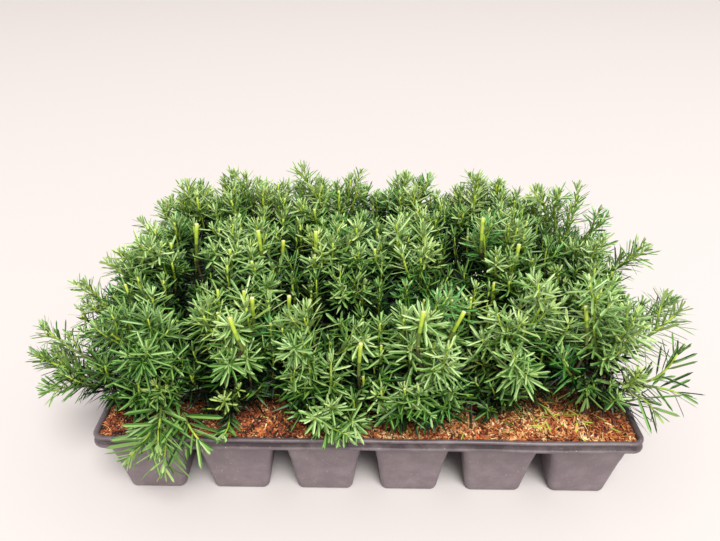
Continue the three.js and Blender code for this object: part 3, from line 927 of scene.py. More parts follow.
def plan_yew(row, column):
    """Draws one yew's main lines by the rule and the dice of its solids."""
    form = ROW_FORMS[row]
    name = f"{form['name']}_{column + 1}"
    dice = Dice(SOLID_SEED + SOLID_SEED_STEP * (row * COLUMNS + column))
    x, y = cell_centre(row, column)
    foot = Vector((x, y, SOIL_TOP + GAP))
    out_x = -1 if column == 0 else 1 if column == COLUMNS - 1 else 0
    out_y = -1 if row == 0 else 1 if row == ROWS - 1 else (0 if out_x else (1 if column % 2 else -1))
    outward = Vector((out_x, out_y * (0.8 if out_x else 1), 0)).normalized()
    fork = foot + Vector((dice.between(-4, 4), dice.between(-4, 4), STEM_RISE))
    out_turn = math.atan2(outward.y, outward.x)
    slope = Vector((-outward.x * SPLIT_SLOPE, -outward.y * SPLIT_SLOPE, 1)).normalized()
    own = [Vector(tip) for tip in OUTLINE_TIPS.get(name, ())]

    def over(tip):
        return slope.dot(tip - fork) > GAP / 2

    def out_to(turn, height, share=EDGE_SHARE):
        c, s = math.cos(turn), math.sin(turn)
        far = share * (AIR - 2) / max(abs(c), abs(s))
        return Vector((x + far * c, y + far * s, height))

    def with_outline(tips, outline):
        left = list(tips)
        for tip in outline:
            left.sort(key=lambda other: (other - tip).length)
            left.pop(0)
        return [*outline, *left]

    leader_start = fork + Vector((0, 0, GAP))
    leader_top = Vector((fork.x, fork.y, SOIL_TOP + LEADER_SHARE * form["height"]))
    domes = []
    for k in range(INNER_SHOOTS):
        turn = out_turn + math.pi + INNER_FAN * (k / (INNER_SHOOTS - 1) - 0.5) + dice.between(-0.12, 0.12)
        domes.append(out_to(turn, fork.z + dice.between(-16, 8)))
    for k in range(form["tops"]):
        level = (k + 0.5) / form["tops"]
        turn = dice.between(0, 0.8) + k * GOLDEN_TURN
        height = SOIL_TOP + form["height"] * (0.54 + 0.4 * level)
        domes.append(out_to(turn, height, EDGE_SHARE - 0.28 * level))
    tips = sorted(with_outline(domes, [tip for tip in own if over(tip)]), key=lambda tip: tip.z)
    leader = (leader_start, leader_top, sweeps(leader_start, leader_top, 0.08, 0.9, tips, dice))

    bud_at = foot.lerp(fork, 1 / (len(STEM_RADII) - 1))
    skirt_end = bud_at + outward * SKIRT_RUN + Vector((0, 0, SKIRT_RISE))
    fans = []
    for k in range(form["skirts"]):
        aside = SKIRT_FAN * (k / (form["skirts"] - 1) - 0.5) + dice.between(-0.12, 0.12)
        rise = dice.between(4, 12) if k % 2 else dice.between(20, 32)
        fan = out_to(out_turn + aside, bud_at.z + rise)
        fans.append(fan + outward * (form["reach"][column] - AIR) * max(0, math.cos(aside)))
    tips = with_outline(fans, [tip for tip in own if not over(tip)])
    tips.sort(key=lambda tip: -outward.angle(Vector((tip.x - bud_at.x, tip.y - bud_at.y, 0))))
    skirt = (bud_at, skirt_end, sweeps(bud_at, skirt_end, 0.1, 0.85, tips, dice))
    return Plan(name, foot, fork, {"leader": leader, "skirt": skirt})


@lru_cache(maxsize=None)
def yew_plans():
    return [plan_yew(row, column) for row in range(ROWS) for column in range(COLUMNS)]


# From main lines to shoots

# The crown's skin: its height over the floor across the tray, and its share of that along the tray.
CROWN_ACROSS = (
    (-162, -140, -120, -100, -80, 0, 60, 100, 130, 150, 162),
    (94, 124, 158, 188, 208, 250, 264, 270, 244, 196, 150),
)
CROWN_ALONG = (
    (-326, -290, -261, -230, -200, 190, 222, 255, 286, 320),
    (0.46, 0.66, 0.76, 0.90, 1.0, 1.0, 0.92, 0.80, 0.56, 0.36),
)
# The skyline of the back row, with its dips.
SKYLINE = (
    (
        -300, -261, -231, -200, -171, -138, -114, -75, -45, -22, 6,
        28, 66, 90, 116, 140, 172, 201, 230, 261, 300,
    ),
    (
        150, 192, 222, 250, 268, 273, 251, 284, 249, 273, 252,
        271, 274, 247, 272, 268, 254, 234, 208, 178, 140,
    ),
)
# Dark hollows between the yews: place, half lengths along and across the tray, and depth.
HOLLOWS = (
    (-182, 4, 17, 34, 88), (-182, -62, 14, 28, 74), (-84, 4, 20, 28, 42), (-52, -58, 22, 26, 68),
    (2, -50, 18, 24, 30), (50, -56, 16, 22, 40), (88, 0, 18, 26, 78), (114, -98, 22, 26, 90),
    (204, 10, 16, 28, 80), (-150, -122, 16, 18, 50), (-94, -122, 16, 18, 50),
)
# How far a shoot's last needles stand out past its tip, and the height that shoots keep above.
TIP_NEEDLE = 8.0
BARE_GROUND = 92.0
# Where the front row ends but for its loose shoots, how high the open space there reaches at the middle row,
# how much higher with each millimetre forward, and over which height the front row's tips may hang into it.
OPEN_END = 256.0
OPEN_HEIGHT = 138.0
OPEN_SLOPE = 0.62
OPEN_TOP = 196.0
# From where along the tray the back row's top is thin enough to see the sky through, and the share left out.
THIN_TOP = 150.0
THINNED = 0.35
# How far upright shoots end under the crown's skin at a yew's sides and corners, in a dip, and by chance.
SIDE_SINK, CORNER_SINK, DIP, UNEVEN = 20, 8, 26, 12
# How far under its skin the crown is at its deepest, and half the width over which a yew's inner shoots end.
CROWN_DEPTH = 105.0
INNER_HALF = 46.0
# How far an inner shoot rises, about and at least, and the least share of an upright shoot that is grown.
INNER_RISE = (24, 5)
LEAST_RISER = 0.6


def crown_skin(x, y):
    """How high the crown's skin lies over the floor at a place, or at many."""
    skin = SOIL_TOP + (np.interp(y, *CROWN_ACROSS) - SOIL_TOP) * np.interp(x, *CROWN_ALONG)
    return np.where(y > PITCH / 2, np.minimum(skin, np.interp(x, *SKYLINE)), skin)


def hollow_at(x, y):
    """How far the crown sinks into a dark hollow at a place."""
    return sum(
        deep * math.exp(-(((x - hx) / along) ** 2) - ((y - hy) / across) ** 2)
        for hx, hy, along, across, deep in HOLLOWS
    )


# How far forward the low shoots of the front row reach, along the tray.
FRONT_EDGE = (
    (-330, -262, -240, -214, -170, -140, -96, -72, -52, -18, 0, 50, 80, 120, 150, 200, 240, 270, 330),
    (
        -90, -90, -94, -116, -110, -94, -90, -110, -136, -136,
        -122, -122, -118, -108, -100, -84, -76, -84, -102,
    ),
)
# Up to which height a tip counts as low there, and the least share of a shoot that is left.
LOW_TIP = 130.0
LEAST_LEFT = 0.15


def at_open_end(tip):
    """Whether a tip hangs in the open space under the right end of the crown, where only loose shoots are."""
    return tip[0] > OPEN_END and tip[1] < 20 and tip[2] < OPEN_HEIGHT - OPEN_SLOPE * tip[1]


def kept_back(line):
    """A shoot shortened and turned up where it would hide the bare medium, and how much of it is left."""
    start, tip = line[0], line[-1]
    share = 1.0
    if tip[1] < -60:
        edge = np.interp(tip[0], *FRONT_EDGE) - 0.35 * max(0.0, tip[2] - LOW_TIP)
        if tip[1] < edge:
            share = max((start[1] - edge) / (start[1] - tip[1]), LEAST_LEFT)
    if tip[0] > OPEN_END and tip[1] < -40 and tip[2] < OPEN_TOP:
        share = min(share, max((OPEN_END - start[0]) / (tip[0] - start[0]), LEAST_LEFT))
    kept = start + (line - start) * (share, share, 0.4 + 0.6 * share)
    kept[:, 2] += np.linspace(0, 1, len(line)) ** 2 * 9 * (1 - share)
    return kept, share


def depth_in_crown(points):
    """How deep points lie in the crown, from 0 at its skin to 1 near the medium."""
    return np.clip((crown_skin(points[..., 0], points[..., 1]) - points[..., 2]) / CROWN_DEPTH, 0, 1)


def over_tray(points, margin, size=(TRAY_LENGTH, TRAY_WIDTH)):
    """Whether points lie over the tray, or over another middle rectangle, with a margin round it."""
    return (np.abs(points[..., 0]) < size[0] / 2 + margin) & (np.abs(points[..., 1]) < size[1] / 2 + margin)


def held(point):
    """A tip kept inside the crown's reach and over the tray."""
    limit = np.array(REACH) - TIP_NEEDLE
    low = BARE_GROUND + 3 if over_tray(point, 4) else 40
    return np.clip(point, [-limit[0], -limit[1], low], limit)


def run_along(line):
    """How far each point of a line lies along it."""
    return np.concatenate([[0], np.cumsum(np.linalg.norm(np.diff(line, axis=0), axis=1))])


def values_at(at, run, values):
    """The values of a line, such as its points, between those that it has at the places `run`."""
    return np.stack([np.interp(at, run, values[:, i]) for i in range(3)], 1)


def cut_back(line, by):
    """A line without its last stretch."""
    run = run_along(line)
    return values_at(np.linspace(0, max(run[-1] - by, 0.5 * run[-1]), len(line)), run, line)


def swayed(line, rng, amount):
    """A line that wanders a little between its ends, as a live twig does."""
    turn = math.pi * np.linspace(0, 1, len(line))[:, None]
    return line + rng.normal(0, amount, 3) * np.sin(turn) + rng.normal(0, amount, 3) * np.sin(2 * turn) * 0.5


# The middle and spread of the shoots' tones at the crown's skin, their limits, and the families' shares.
SHOOT_TONE = (4.45, 0.35)
TONE_LIMITS = (3.9, 4.7)
FAMILY_SHARES = (0.82, 0.09, 0.09)


def tone_at(point, rng):
    """Which green a shoot with its tip there has: paler at the crown's skin, darker deep inside it as painted
    shade, and darker towards the front, most at its left end, and at the tray's right end.
    """
    front = np.interp(point[1], (-100, 0), (1, 0))
    left = np.interp(point[0], (-220, -100), (1, 0))
    right = np.interp(point[0], (220, 290), (0, 1))
    tone = np.clip(rng.normal(*SHOOT_TONE), *TONE_LIMITS)
    return tone - (0.4 + 1.4 * left) * front - 0.5 * right - 0.9 * depth_in_crown(point)


def pick_family(rng):
    return rng.choice(list(NEEDLE_GREENS), p=FAMILY_SHARES)


def place_on(line, share):
    """A point of a line and the way that it heads there."""
    at = share * (len(line) - 1)
    i = min(int(at), len(line) - 2)
    return line[i] + (line[i + 1] - line[i]) * (at - i), unit(line[i + 1] - line[i])


def round_about(ahead, turn, flatness, lift):
    """Ways out of a twig that heads ahead, each at its turn about it, and how level the twig is there.

    Out of a level twig they are flattened into two ranks, lifted a little.
    """
    steep = np.abs(ahead[..., 2:])
    level = np.clip(1 - steep / 0.8, 0, 1)
    flat = level * flatness
    side = unit(np.cross(ahead, np.where(steep < 0.95, UP, (1.0, 0.0, 0.0))))
    other = np.cross(side, ahead)
    return unit(np.cos(turn) * side + (np.sin(turn) * (1 - flat) + lift * flat) * other), level


def side_shoots(parent, count, reaches, rng):
    """Side shoots in a spiral up a shoot, shorter towards its tip."""
    spiral = rng.uniform(0, FULL_TURN)
    made = []
    for k in range(count):
        share = 0.3 + 0.64 * (k + rng.uniform(0.25, 0.75)) / count
        start, ahead = place_on(parent.line, share)
        radial, _ = round_about(ahead, spiral + k * GOLDEN_TURN, parent.flatness, 0.4)
        lean = rng.uniform(0.6, 0.95)
        way = unit(math.cos(lean) * ahead + math.sin(lean) * radial + 0.25 * UP)
        reach = rng.uniform(*reaches) * (1.25 - 0.5 * share)
        bend = start + way * reach * 0.55
        tip = held(bend + unit(0.5 * way + 0.35 * ahead + 0.5 * UP) * reach * 0.5)
        made.append(replace(
            parent, main=False, clipped=False, bare=0.12, radii=(parent.radii[1] * 0.95, 0.75),
            line=swayed(bent_line(start, bend, tip, 5), rng, 0.5),
            needle=parent.needle * rng.uniform(0.68, 0.92), tone=parent.tone + rng.normal(0.25, 0.3),
        ))
    return made


def loose_grid(low, high, counts, rng):
    """Places on a loose grid over a rectangle."""
    for i in range(counts[0]):
        for j in range(counts[1]):
            share = (np.array([i, j]) + 0.5 + rng.uniform(-0.3, 0.3, 2)) / counts
            yield low + (high - low) * share


def riser_tips(plan, row, column, rng, form):
    """Where the upright shoots of a yew end: a loose grid over its part of the crown, domed and uneven."""
    reach = ROW_FORMS[row]["reach"][column]
    x, y = centre = np.array(plan.foot.xy)
    low = np.array([-REACH.x if column == 0 else x - AIR, y - (reach if row == 0 else AIR)])
    high = np.array([REACH.x if column == COLUMNS - 1 else x + AIR, y + (reach if row == ROWS - 1 else AIR)])
    step = form.riser_spacing / MM * ROW_FORMS[row]["step"]
    counts = np.maximum(np.round((high - low) / step), 1).astype(int)
    tips = []
    for spot in loose_grid(low, high, counts, rng):
        edge = np.abs(spot - centre) / AIR
        dome = SIDE_SINK * min(float(edge.max()), 1.15) ** 3 + CORNER_SINK * min(float(edge.min()), 1.0) ** 2
        dip = DIP * max(0.0, noise.noise(Vector((*spot, 3)) * 0.022)) + hollow_at(*spot)
        height = float(crown_skin(*spot)) - dome - dip - rng.uniform(0, UNEVEN)
        thin = row == ROWS - 1 and spot[0] > THIN_TOP and rng.random() < THINNED
        if height > BARE_GROUND + 14 and not thin and not (spot[0] > OPEN_END and spot[1] < -50):
            tips.append(np.array([*spot, height]))
    return tips


def risers_to(tips, mains, rng, height=52, least=20):
    """Upright shoots to tips: each leaves the best placed main shoot under its tip and straightens up to it.

    They rise by about `height`, and by `least` at least. Gives each one's line, its main shoot's mass, and
    the line and share of it that kept_back leaves.
    """
    for tip in map(held, tips):
        starts = []
        for main in mains:
            for start in main.line[2:]:
                rise = tip[2] - start[2]
                away = math.hypot(tip[0] - start[0], tip[1] - start[1])
                cost = away + abs(rise - height) * 0.4 + (14 if away > rise else 0)
                if rise >= least:
                    starts.append((cost, start, main.mass))
        if starts:
            _, start, mass = min(starts, key=lambda found: found[0])
            across = rng.uniform(0.7, 0.9)
            bend = start + (tip - start) * (across, across, 0.32)
            line = swayed(bent_line(start, bend, tip, 10), rng, 0.8)
            yield line, mass, *kept_back(line)


def inner_tips(plan, row, rng):
    """Where the short shaded shoots inside a yew end: on a loose grid in storeys under its skin."""
    tips = []
    storeys = ROW_FORMS[row]["storeys"]
    middle = np.array([plan.foot.x, plan.foot.y + (row - 1) * 14])
    for spot in loose_grid(middle - INNER_HALF, middle + INNER_HALF, (4, 4), rng):
        skin = float(crown_skin(*spot))
        for storey in storeys[:1] if hollow_at(*spot) > 30 else storeys:
            height = BARE_GROUND + (skin - BARE_GROUND) * (storey + rng.uniform(-0.06, 0.06))
            if skin - height > 20 and height > BARE_GROUND + 8:
                tips.append(np.array([*spot, height]))
    return tips


@lru_cache(maxsize=None)
def grown_yew(index):
    """All the shoots of one yew, main ones first."""
    form = bpy.context.scene.yew_shoot_form
    plan = yew_plans()[index]
    row, column = divmod(index, COLUMNS)
    rng = np.random.default_rng(SHOOT_SEED + index)
    long, wide, spread, droop = ROW_FORMS[row]["needles"]
    needle = form.needle_length / MM * long
    like_row = {"blade": form.needle_width / MM * wide, "spread": spread, "droop": droop}
    twig = form.twig / MM
    mains = []
    for mass, (_, _, lines) in plan.masses.items():
        for line in lines:
            shy = 0.6 * min(hollow_at(*line[-1][:2]) / 70, 1.0)
            run = float(np.linalg.norm(line[-1] - line[0]))
            kept, share = kept_back(swayed(cut_back(line, TIP_NEEDLE + shy * run), rng, 1.1))
            mains.append(Shoot(
                kept, (twig, twig * 0.7), mass, bare=0.12,
                needle=needle * rng.uniform(0.9, 1.12) * (0.55 + 0.45 * share),
                tone=tone_at(kept[-1], rng), family=pick_family(rng), main=True, **like_row,
            ))
    risers = []
    for line, mass, kept, share in risers_to(riser_tips(plan, row, column, rng, form), mains, rng):
        clipped = rng.random() < ROW_FORMS[row]["clipped"]
        if share >= LEAST_RISER:
            risers.append(Shoot(
                kept, (twig * 0.95, twig * (0.95 if clipped else 0.8)), mass, bare=0.06,
                needle=needle * rng.uniform(0.8, 1.0), tone=tone_at(line[-1], rng), family=pick_family(rng),
                flatness=0.5, main=True, clipped=clipped, **like_row,
            ))
    # Inner shoots start dark: painted shade for the crown's inside.
    inner = [
        Shoot(
            kept, (twig * 0.8, 0.8), mass, bare=0.1, needle=needle * 1.15, tone=rng.normal(2.6, 0.4),
            flatness=0.4, sparse=1.4, **like_row,
        )
        for _, mass, kept, share in risers_to(inner_tips(plan, row, rng), mains, rng, *INNER_RISE)
        if share == 1
    ]
    loose = [
        Shoot(
            bent_line(start, bend, tip, 12), (twig, twig * 0.6), "skirt", bare=0.2, needle=needle * size,
            tone=tone, flatness=flatness, main=True, sparse=sparse, blade=like_row["blade"] * size,
            spread=spread, outside=True,
        )
        for name, start, bend, tip, sparse, size, flatness, tone in LOOSE_SHOOTS if name == plan.name
    ]
    sides = [side for main in mains for side in side_shoots(main, 2, (18, 34), rng)]
    sprigs = [
        sprig for shoot in risers for sprig in side_shoots(shoot, int(rng.integers(1, 3)), (11, 19), rng)
    ]
    filling = [shoot for shoot in risers + sides + sprigs + inner if not at_open_end(shoot.line[-1])]
    if column == 0:
        filling += [side for shoot in loose[2:] for side in side_shoots(shoot, 2, (14, 24), rng)]
    return mains + loose + filling


# Needles

# The two kinds of needle, full and shaded. Each has the places of its rings along it, their shares of its
# full width, and its faces with their slots: l for its left half, r for its right half and b for its back.
# Its corners are its foot, a left, a top and a right one in each ring, and its tip.
NEEDLE_KINDS = (
    ((0.22, 0.86), (0.9, 0.92), (
        (((1, 2, 5, 4), (2, 3, 6, 5)), "lr"), (((0, 2, 1), (0, 3, 2), (4, 5, 7), (5, 6, 7)), "lrlr"),
        (((3, 1, 4, 6),), "b"), (((0, 1, 3), (6, 4, 7)), "bb"),
    )),
    ((0.5,), (1.15,), (
        (((0, 2, 1), (0, 3, 2), (1, 2, 4), (2, 3, 4)), "llll"), (((0, 1, 3), (3, 1, 4)), "bb"),
    )),
)
RIDGE = 0.17


@dataclass
class Needles:
    """Many needles: a row of each array is one needle."""

    foot: np.ndarray
    way: np.ndarray
    face: np.ndarray
    length: np.ndarray
    width: np.ndarray
    bend: np.ndarray
    # green and other: the slots of a needle's left and right halves; on shoots they differ as painted light
    # and shade.
    green: np.ndarray
    back: np.ndarray
    other: np.ndarray
    shaded: np.ndarray

    @staticmethod
    def joined(parts):
        return Needles(*map(np.concatenate, zip(*(vars(part).values() for part in parts))))

    def picked(self, which):
        return Needles(*(values[which] for values in vars(self).values()))

    def outline(self, stations, widths):
        """The points of each blade: its foot, three to a ring at every station, and its tip."""
        foot, way, face = self.foot[:, None], self.way[:, None], self.face[:, None]
        right = np.cross(way, face)
        length, bend = self.length[:, None, None], self.bend[:, None, None]
        at = stations[:, None]
        middle = foot + way * (length * at) + face * (bend * length * at ** 2)
        half = self.width[:, None, None] * widths[:, None] / 2
        rings = np.stack([middle - right * half, middle + face * half * 2 * RIDGE, middle + right * half], 2)
        tip = foot + way * length + face * (bend * length)
        return np.concatenate([foot, rings.reshape(len(foot), 3 * len(at), 3), tip], 1)

    def heap_up(self, heap, back_slot):
        """Adds each needle as a blade with a ridge along its upper face, and the shaded ones more simply."""
        slots = {"l": self.green, "r": self.other, "b": self.back + back_slot}
        for shaded, (stations, widths, patterns) in enumerate(NEEDLE_KINDS):
            which = self.shaded == shaded
            points = self.picked(which).outline(np.array(stations), np.array(widths))
            first = np.arange(len(points))[:, None, None] * points.shape[1]
            sets = []
            for faces, keys in patterns:
                dealt = np.stack([slots[key] for key in keys], 1)[which]
                sets.append(((first + np.array(faces)).reshape(-1, len(faces[0])), dealt.reshape(-1)))
            heap.add(points.reshape(-1, 3), sets)


FAMILY_FIRST = {"sea": 8, "moss": 12}
FIRST_UNDERSIDE = 16


def greens_for(tones, family):
    """The material slots for tones of a family. The newest tones are of the leaf family in all of them."""
    tones = np.clip(np.round(tones), 0, 7).astype(int)
    if family == "leaf":
        return tones
    return np.where(tones >= 6, tones, np.clip(tones - 1, 0, 3) + FAMILY_FIRST[family])


def clear_of_tray(foot, way, length):
    """Turns up each needle that would reach into the bed or the rim."""
    tip = foot + way * length[:, None]
    low = np.where(over_tray(tip, -3, (BED_LENGTH, BED_WIDTH)), SOIL_TOP + 1.2, TRAY_HEIGHT + 1.5)
    tip[:, 2] = np.where(over_tray(foot, 1) & over_tray(tip, 3) & (tip[:, 2] < low), low, tip[:, 2])
    return unit(tip - foot)


def inside_reach(foot, way, length):
    """Shortens each needle that would stand out of the crown's reach."""
    limit = np.array(REACH) + (5.0, 5.0, 3.0)
    room = np.where(way > 0, limit - foot, -limit - foot) / np.where(np.abs(way) < 1e-6, 1e-6, way)
    return np.clip(np.minimum(length, np.min(np.where(room > 0, room, 1.0), axis=1)), 3.0, None)


# How many needles stand in the tuft at a tip.
TUFT = 5
# How far the needles near a tip lean in, on a whole shoot and on a clipped one.
LEAN_IN, CLIPPED_LEAN_IN = 0.46, 0.25
# The depth in the crown from which greens darken as painted shade, over how much of it, and by how many
# tones.
PAINTED_SHADE_FROM, PAINTED_SHADE_OVER, PAINTED_SHADE_TONES = 0.21, 0.5, 3.7
# The depth from which needles are of the simple kind, and the share of them that is left out at the deepest.
SIMPLE_FROM, LEFT_OUT = 0.42, 0.35


def needles_along(shoot, rng, form):
    """The needles of one shoot: in a spiral, or in two ranks where it is level, and shorter at its tip."""
    line = shoot.line
    run = run_along(line)
    long = run[-1]
    first = shoot.bare * long
    last = long * (0.93 if shoot.clipped else 1)
    rows = max(4, int((last - first) / (form.spacing / MM * shoot.sparse)))
    tuft = 0 if shoot.clipped else TUFT
    count = rows + tuft
    at = np.concatenate([np.linspace(first, last, rows) + rng.normal(0, 0.3, rows), np.full(tuft, long)])
    at = np.clip(at, 0, long)
    share = at / long
    is_tuft = np.arange(count) >= rows
    foot = values_at(at, run, line)
    ahead = unit(values_at(at, run, unit(np.gradient(line, run, axis=0))))
    turn = (rng.uniform(0, FULL_TURN) + GOLDEN_TURN * np.arange(count))[:, None]
    radial, level = round_about(ahead, turn, shoot.flatness, 0.3)
    lean_in = CLIPPED_LEAN_IN if shoot.clipped else LEAN_IN
    lean = shoot.spread - lean_in * share ** 2.6 + rng.normal(0, 0.11, count)
    lean = np.where(is_tuft, rng.uniform(0.1, 0.55, count), lean)[:, None]
    way = np.cos(lean) * ahead + np.sin(lean) * (radial - shoot.droop * UP)
    way = unit(way + rng.normal(0, 0.06, (count, 3)))
    grow = 0.75 + 0.25 * np.clip((at - first) / (0.25 * (long - first) + 1e-6), 0, 1)
    ease = 1 - (0.3 if shoot.clipped else 0.46) * np.clip((share - 0.7) / 0.3, 0, 1) ** 1.5
    length = shoot.needle * grow * ease * rng.uniform(0.84, 1.12, count)
    length = np.where(is_tuft, rng.uniform(0.28, 0.5, count) * shoot.needle, length)
    way = clear_of_tray(foot, way, length)
    length = inside_reach(foot, way, length)
    face = square_to(way, unit((1 - level) * ahead + level * UP + rng.normal(0, 0.2, (count, 3))))
    width = shoot.blade * (0.55 + 0.45 * length / shoot.needle) * rng.uniform(0.88, 1.1, count)
    tones = shoot.tone + rng.normal(0, 0.45, count) + 0.6 * np.clip((share - 0.8) / 0.2, 0, 1)
    deep = depth_in_crown(foot) * (0.3 if shoot.outside else 1)
    # Painted shade: greens darken with depth in the crown, loose shoots outside it hardly at all.
    into = np.clip((deep - PAINTED_SHADE_FROM) / PAINTED_SHADE_OVER, 0, 1)
    tones = tones - PAINTED_SHADE_TONES * into ** 2 * (3 - 2 * into)
    tones = np.where(is_tuft, tones + 0.5, tones)
    # Painted light and shade: one half of each needle is a tone lighter, the other a tone darker, across its
    # ridge.
    lit_and_shaded_halves = np.where(rng.random(count) < 0.5, 1.0, -1.0)
    green, other = (greens_for(tones + half, shoot.family) for half in (lit_and_shaded_halves, -lit_and_shaded_halves))
    # The back's green follows the tone, so it carries the painted shade too.
    back = np.clip(np.round(tones / 2.4), 0, 2).astype(int)
    bend = rng.normal(-0.05 - 0.15 * shoot.droop, 0.05, count)
    grown = Needles(foot, way, face, length, width, bend, green, back, other, deep > SIMPLE_FROM)
    return grown.picked(is_tuft | (rng.random(count) > LEFT_OUT * deep))


def twig_slots(shoot, stretches):
    """Brown at a twig's foot and deep in the crown, then olive, and yellow-green where it is young."""
    share = (np.arange(stretches) + 0.5) / stretches
    middle = (shoot.line[1:] + shoot.line[:-1]) / 2
    young = (0.9 + 2.7 * share ** 1.1 if shoot.main else 1.8 + 1.4 * share) + (0.4 if shoot.clipped else 0)
    return np.clip(np.round(young - 2.6 * depth_in_crown(middle)), 0, 3).astype(int)


class NURSERY_OT_shoots(bpy.types.Operator):
    """Grows the twigs and needles of every yew, each mass as a piece of twigs and a piece of needles"""

    bl_idname = "nursery.shoots"
    bl_label = "Twigs and needles"

    def execute(self, context):
        form = context.scene.yew_shoot_form
        for index, plan in enumerate(yew_plans()):
            rng = np.random.default_rng(NEEDLE_SEED + index)
            shoots = grown_yew(index)
            for mass, (start, end, _) in plan.masses.items():
                own = [shoot for shoot in shoots if shoot.mass == mass]
                twigs = Heap()
                trunk = bent_line(start, start.lerp(end, 0.5), end, 6)
                trunk[0] = plan.fork if mass == "leader" else start
                twigs.tube(trunk, np.linspace(2.1, 1.3, 6), 7, [0, 0, 1, 1, 1])
                for shoot in own:
                    steps = len(shoot.line)
                    sides = 5 if shoot.main else 4
                    cut = CUT_WOOD if shoot.clipped else None
                    radii = np.linspace(*shoot.radii, steps)
                    twigs.tube(shoot.line, radii, sides, twig_slots(shoot, steps - 1), cut)
                needles = Heap()
                grown = Needles.joined([needles_along(shoot, rng, form) for shoot in own])
                grown.heap_up(needles, FIRST_UNDERSIDE)
                node = f"{mass}_foliage_{plan.name}"
                put(twigs.mesh(f"{mass}_twigs_{plan.name}", True), twig_finishes(), [node])
                put(needles.mesh(f"{mass}_needles_{plan.name}", False), needle_finishes(), [node])
        return {"FINISHED"}


class NURSERY_OT_cut_tops(bpy.types.Operator):
    """Adds the thick green leaders that were cut back, each on the nearest shoot under it"""

    bl_idname = "nursery.cut_tops"
    bl_label = "Cut leaders"

    def execute(self, context):
        rng = np.random.default_rng(CUT_TOP_SEED)
        mains = [shoot for i in range(len(yew_plans())) for shoot in grown_yew(i) if shoot.main]
        points = np.concatenate([shoot.line for shoot in mains])
        heap = Heap()
        for *top, lean in CUT_TOPS:
            top = np.array(top, float)
            below = points[(points[:, 2] < top[2] - 1.5 * CUT_RISE) & (points[:, 2] > top[2] - 4 * CUT_RISE)]
            away = np.linalg.norm((below - top) * (1, 1, 0.12), axis=1)
            start = below[np.argmin(away)]
            foot = top - np.array([lean, rng.normal(0, 2), CUT_RISE])
            elbow = foot - (top - foot) * 0.5 * (foot[2] - start[2]) / CUT_RISE
            line = np.concatenate([bent_line(start, elbow, foot, 5)[:-1], np.linspace(foot, top, 5)])
            radii = CUT_RADIUS * np.linspace(0.8, 1.04, 9)
            heap.tube(swayed(line, rng, 0.4), radii, 9, [0, 0, 0, 1, 1, 2, 3, 3], CUT_WOOD)
        put(heap.mesh("cut_leaders", True), twig_finishes())
        return {"FINISHED"}


# Stems

BARK_SIDES = 14
BARK_RINGS = 12


class NURSERY_OT_stems(bpy.types.Operator):
    """Models the short stems with their flare and flaking bark, a row of six to a piece"""

    bl_idname = "nursery.stems"
    bl_label = "Barked stems"

    def stem(self, bm, plan):
        """One stem: rings up from its foot, joined, closed, and pushed out into ridges of bark."""
        rings = []
        last = len(STEM_RADII) - 1
        for i in range(BARK_RINGS + 1):
            share = i / BARK_RINGS
            centre = plan.foot.lerp(plan.fork, share)
            radius = float(np.interp(share * last, range(last + 1), STEM_RADII))
            radius *= 1 + 0.3 * math.exp(-share * 9)
            place = Matrix.Translation(centre - Vector((0, 0, 3 * (i == 0))))
            ring = bmesh.ops.create_circle(bm, segments=BARK_SIDES, radius=radius, matrix=place)["verts"]
            for v in ring:
                out = v.co - place.translation
                ridge = noise.noise(Vector((out.x * 0.55, out.y * 0.55, v.co.z * 0.07)) + plan.foot)
                v.co += out * 0.26 * ridge
            rings.append(edges_of(ring))
        skin_over(bm, rings)
        for end in (rings[0], rings[-1]):
            bmesh.ops.contextual_create(bm, geom=end)

    def execute(self, context):
        finish = stem_bark()
        for row, form in enumerate(ROW_FORMS):
            bm = bmesh.new()
            plans = yew_plans()[row * COLUMNS:(row + 1) * COLUMNS]
            for plan in plans:
                self.stem(bm, plan)
            bmesh.ops.recalc_face_normals(bm, faces=bm.faces)
            mesh = mesh_from(bm, f"bark_{form['name']}", math.radians(60))
            put(mesh, [finish], [f"stem_{plan.name}" for plan in plans])
        return {"FINISHED"}


# Studio

FLOOR_HALF = 7.0
SOFTBOX_PLACE = (1.6, -4.9, 8.3)
SOFTBOX_SIZE = 4.6
LIT_PLACE = Vector((0, 0, 0.15))


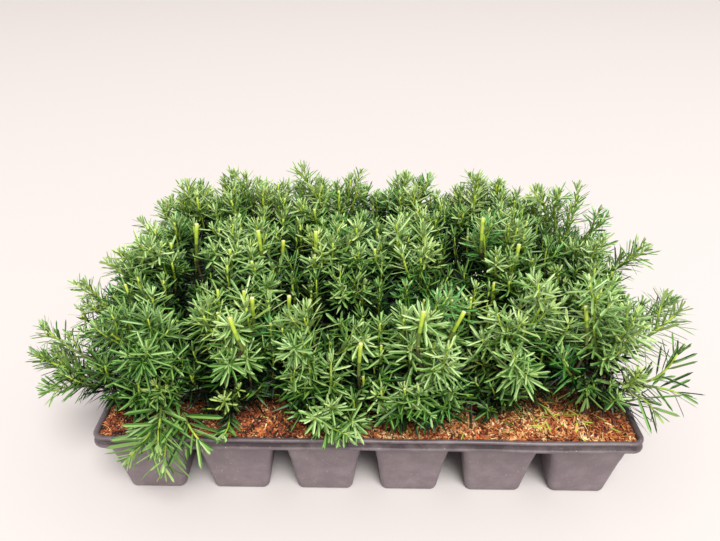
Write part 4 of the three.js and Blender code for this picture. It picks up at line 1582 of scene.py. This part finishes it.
class NURSERY_OT_studio(bpy.types.Operator):
    """Sets up the pale floor, the soft light and the camera"""

    bl_idname = "nursery.studio"
    bl_label = "Floor, light and camera"

    def floor(self, light):
        bm = bmesh.new()
        bmesh.ops.create_grid(bm, x_segments=1, y_segments=1, size=FLOOR_HALF / MM)
        mesh = mesh_from(bm, "floor", math.pi)
        mesh.materials.append(plain_finish("pale floor", light.floor, 0.7, 0.2))
        floor = shown("floor", mesh)

    def softbox(self, light):
        data = bpy.data.lights.new("softbox", "AREA")
        data.shape = "DISK"
        data.size = SOFTBOX_SIZE
        data.energy = light.key
        data.color = (1.0, 0.985, 0.97)
        lamp = shown("softbox", data)
        lamp.location = SOFTBOX_PLACE
        lamp.rotation_euler = (LIT_PLACE - lamp.location).to_track_quat("-Z", "Y").to_euler()

    def camera(self, scene):
        north = Vector((math.sin(CAMERA_YAW), math.cos(CAMERA_YAW), 0))
        level = Vector((north.y, -north.x, 0))
        ahead = north * math.cos(CAMERA_PITCH) - Vector((0, 0, math.sin(CAMERA_PITCH)))
        lift = level.cross(ahead)
        right = level * math.cos(CAMERA_ROLL) + lift * math.sin(CAMERA_ROLL)
        up = lift * math.cos(CAMERA_ROLL) - level * math.sin(CAMERA_ROLL)
        data = bpy.data.cameras.new("camera")
        data.lens = CAMERA_LENS
        data.sensor_width = SENSOR_WIDTH
        scene.camera = shown("camera", data)
        turn = Matrix((right, up, -ahead)).transposed().to_4x4()
        scene.camera.matrix_world = Matrix.Translation(Vector(CAMERA_PLACE) * MM) @ turn

    def execute(self, context):
        scene = context.scene
        light = scene.yew_studio_light
        self.floor(light)
        world = bpy.data.worlds.new("studio")
        world.use_nodes = True
        sky = world.node_tree.nodes["Background"]
        sky.inputs["Color"].default_value = (1.0, 0.95, 0.93, 1)
        sky.inputs["Strength"].default_value = light.dome
        scene.world = world
        self.softbox(light)
        self.camera(scene)
        scene.view_settings.view_transform = "Standard"
        return {"FINISHED"}


class NURSERY_PT_panel(bpy.types.Panel):
    bl_label = "Yew Tray"
    bl_idname = "NURSERY_PT_panel"
    bl_space_type = "VIEW_3D"
    bl_region_type = "UI"
    bl_category = "Yew Tray"

    def draw(self, context):
        layout = self.layout
        for operator in OPERATORS:
            layout.operator(operator.bl_idname)
        for group, kind in GROUPS.items():
            box = layout.box()
            for key in kind.__annotations__:
                box.prop(getattr(context.scene, group), key)


GROUPS = {
    "yew_tray_finish": TrayFinish,
    "yew_medium_finish": MediumFinish,
    "yew_shoot_form": ShootForm,
    "yew_studio_light": StudioLight,
}
OPERATORS = (
    NURSERY_OT_tray, NURSERY_OT_medium, NURSERY_OT_crumbs, NURSERY_OT_stems, NURSERY_OT_shoots,
    NURSERY_OT_cut_tops, NURSERY_OT_studio,
)


def register():
    for kind in (*GROUPS.values(), *OPERATORS, NURSERY_PT_panel):
        bpy.utils.register_class(kind)
    for name, kind in GROUPS.items():
        setattr(bpy.types.Scene, name, PointerProperty(type=kind))


def unregister():
    for name in GROUPS:
        delattr(bpy.types.Scene, name)
    for kind in (NURSERY_PT_panel, *reversed(OPERATORS), *reversed(GROUPS.values())):
        bpy.utils.unregister_class(kind)


def main():
    register()
    bpy.ops.nursery.tray()
    bpy.ops.nursery.medium()
    bpy.ops.nursery.crumbs()
    bpy.ops.nursery.stems()
    bpy.ops.nursery.shoots()
    bpy.ops.nursery.cut_tops()
    bpy.ops.nursery.studio()
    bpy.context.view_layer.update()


if __name__ == "__main__":
    main()
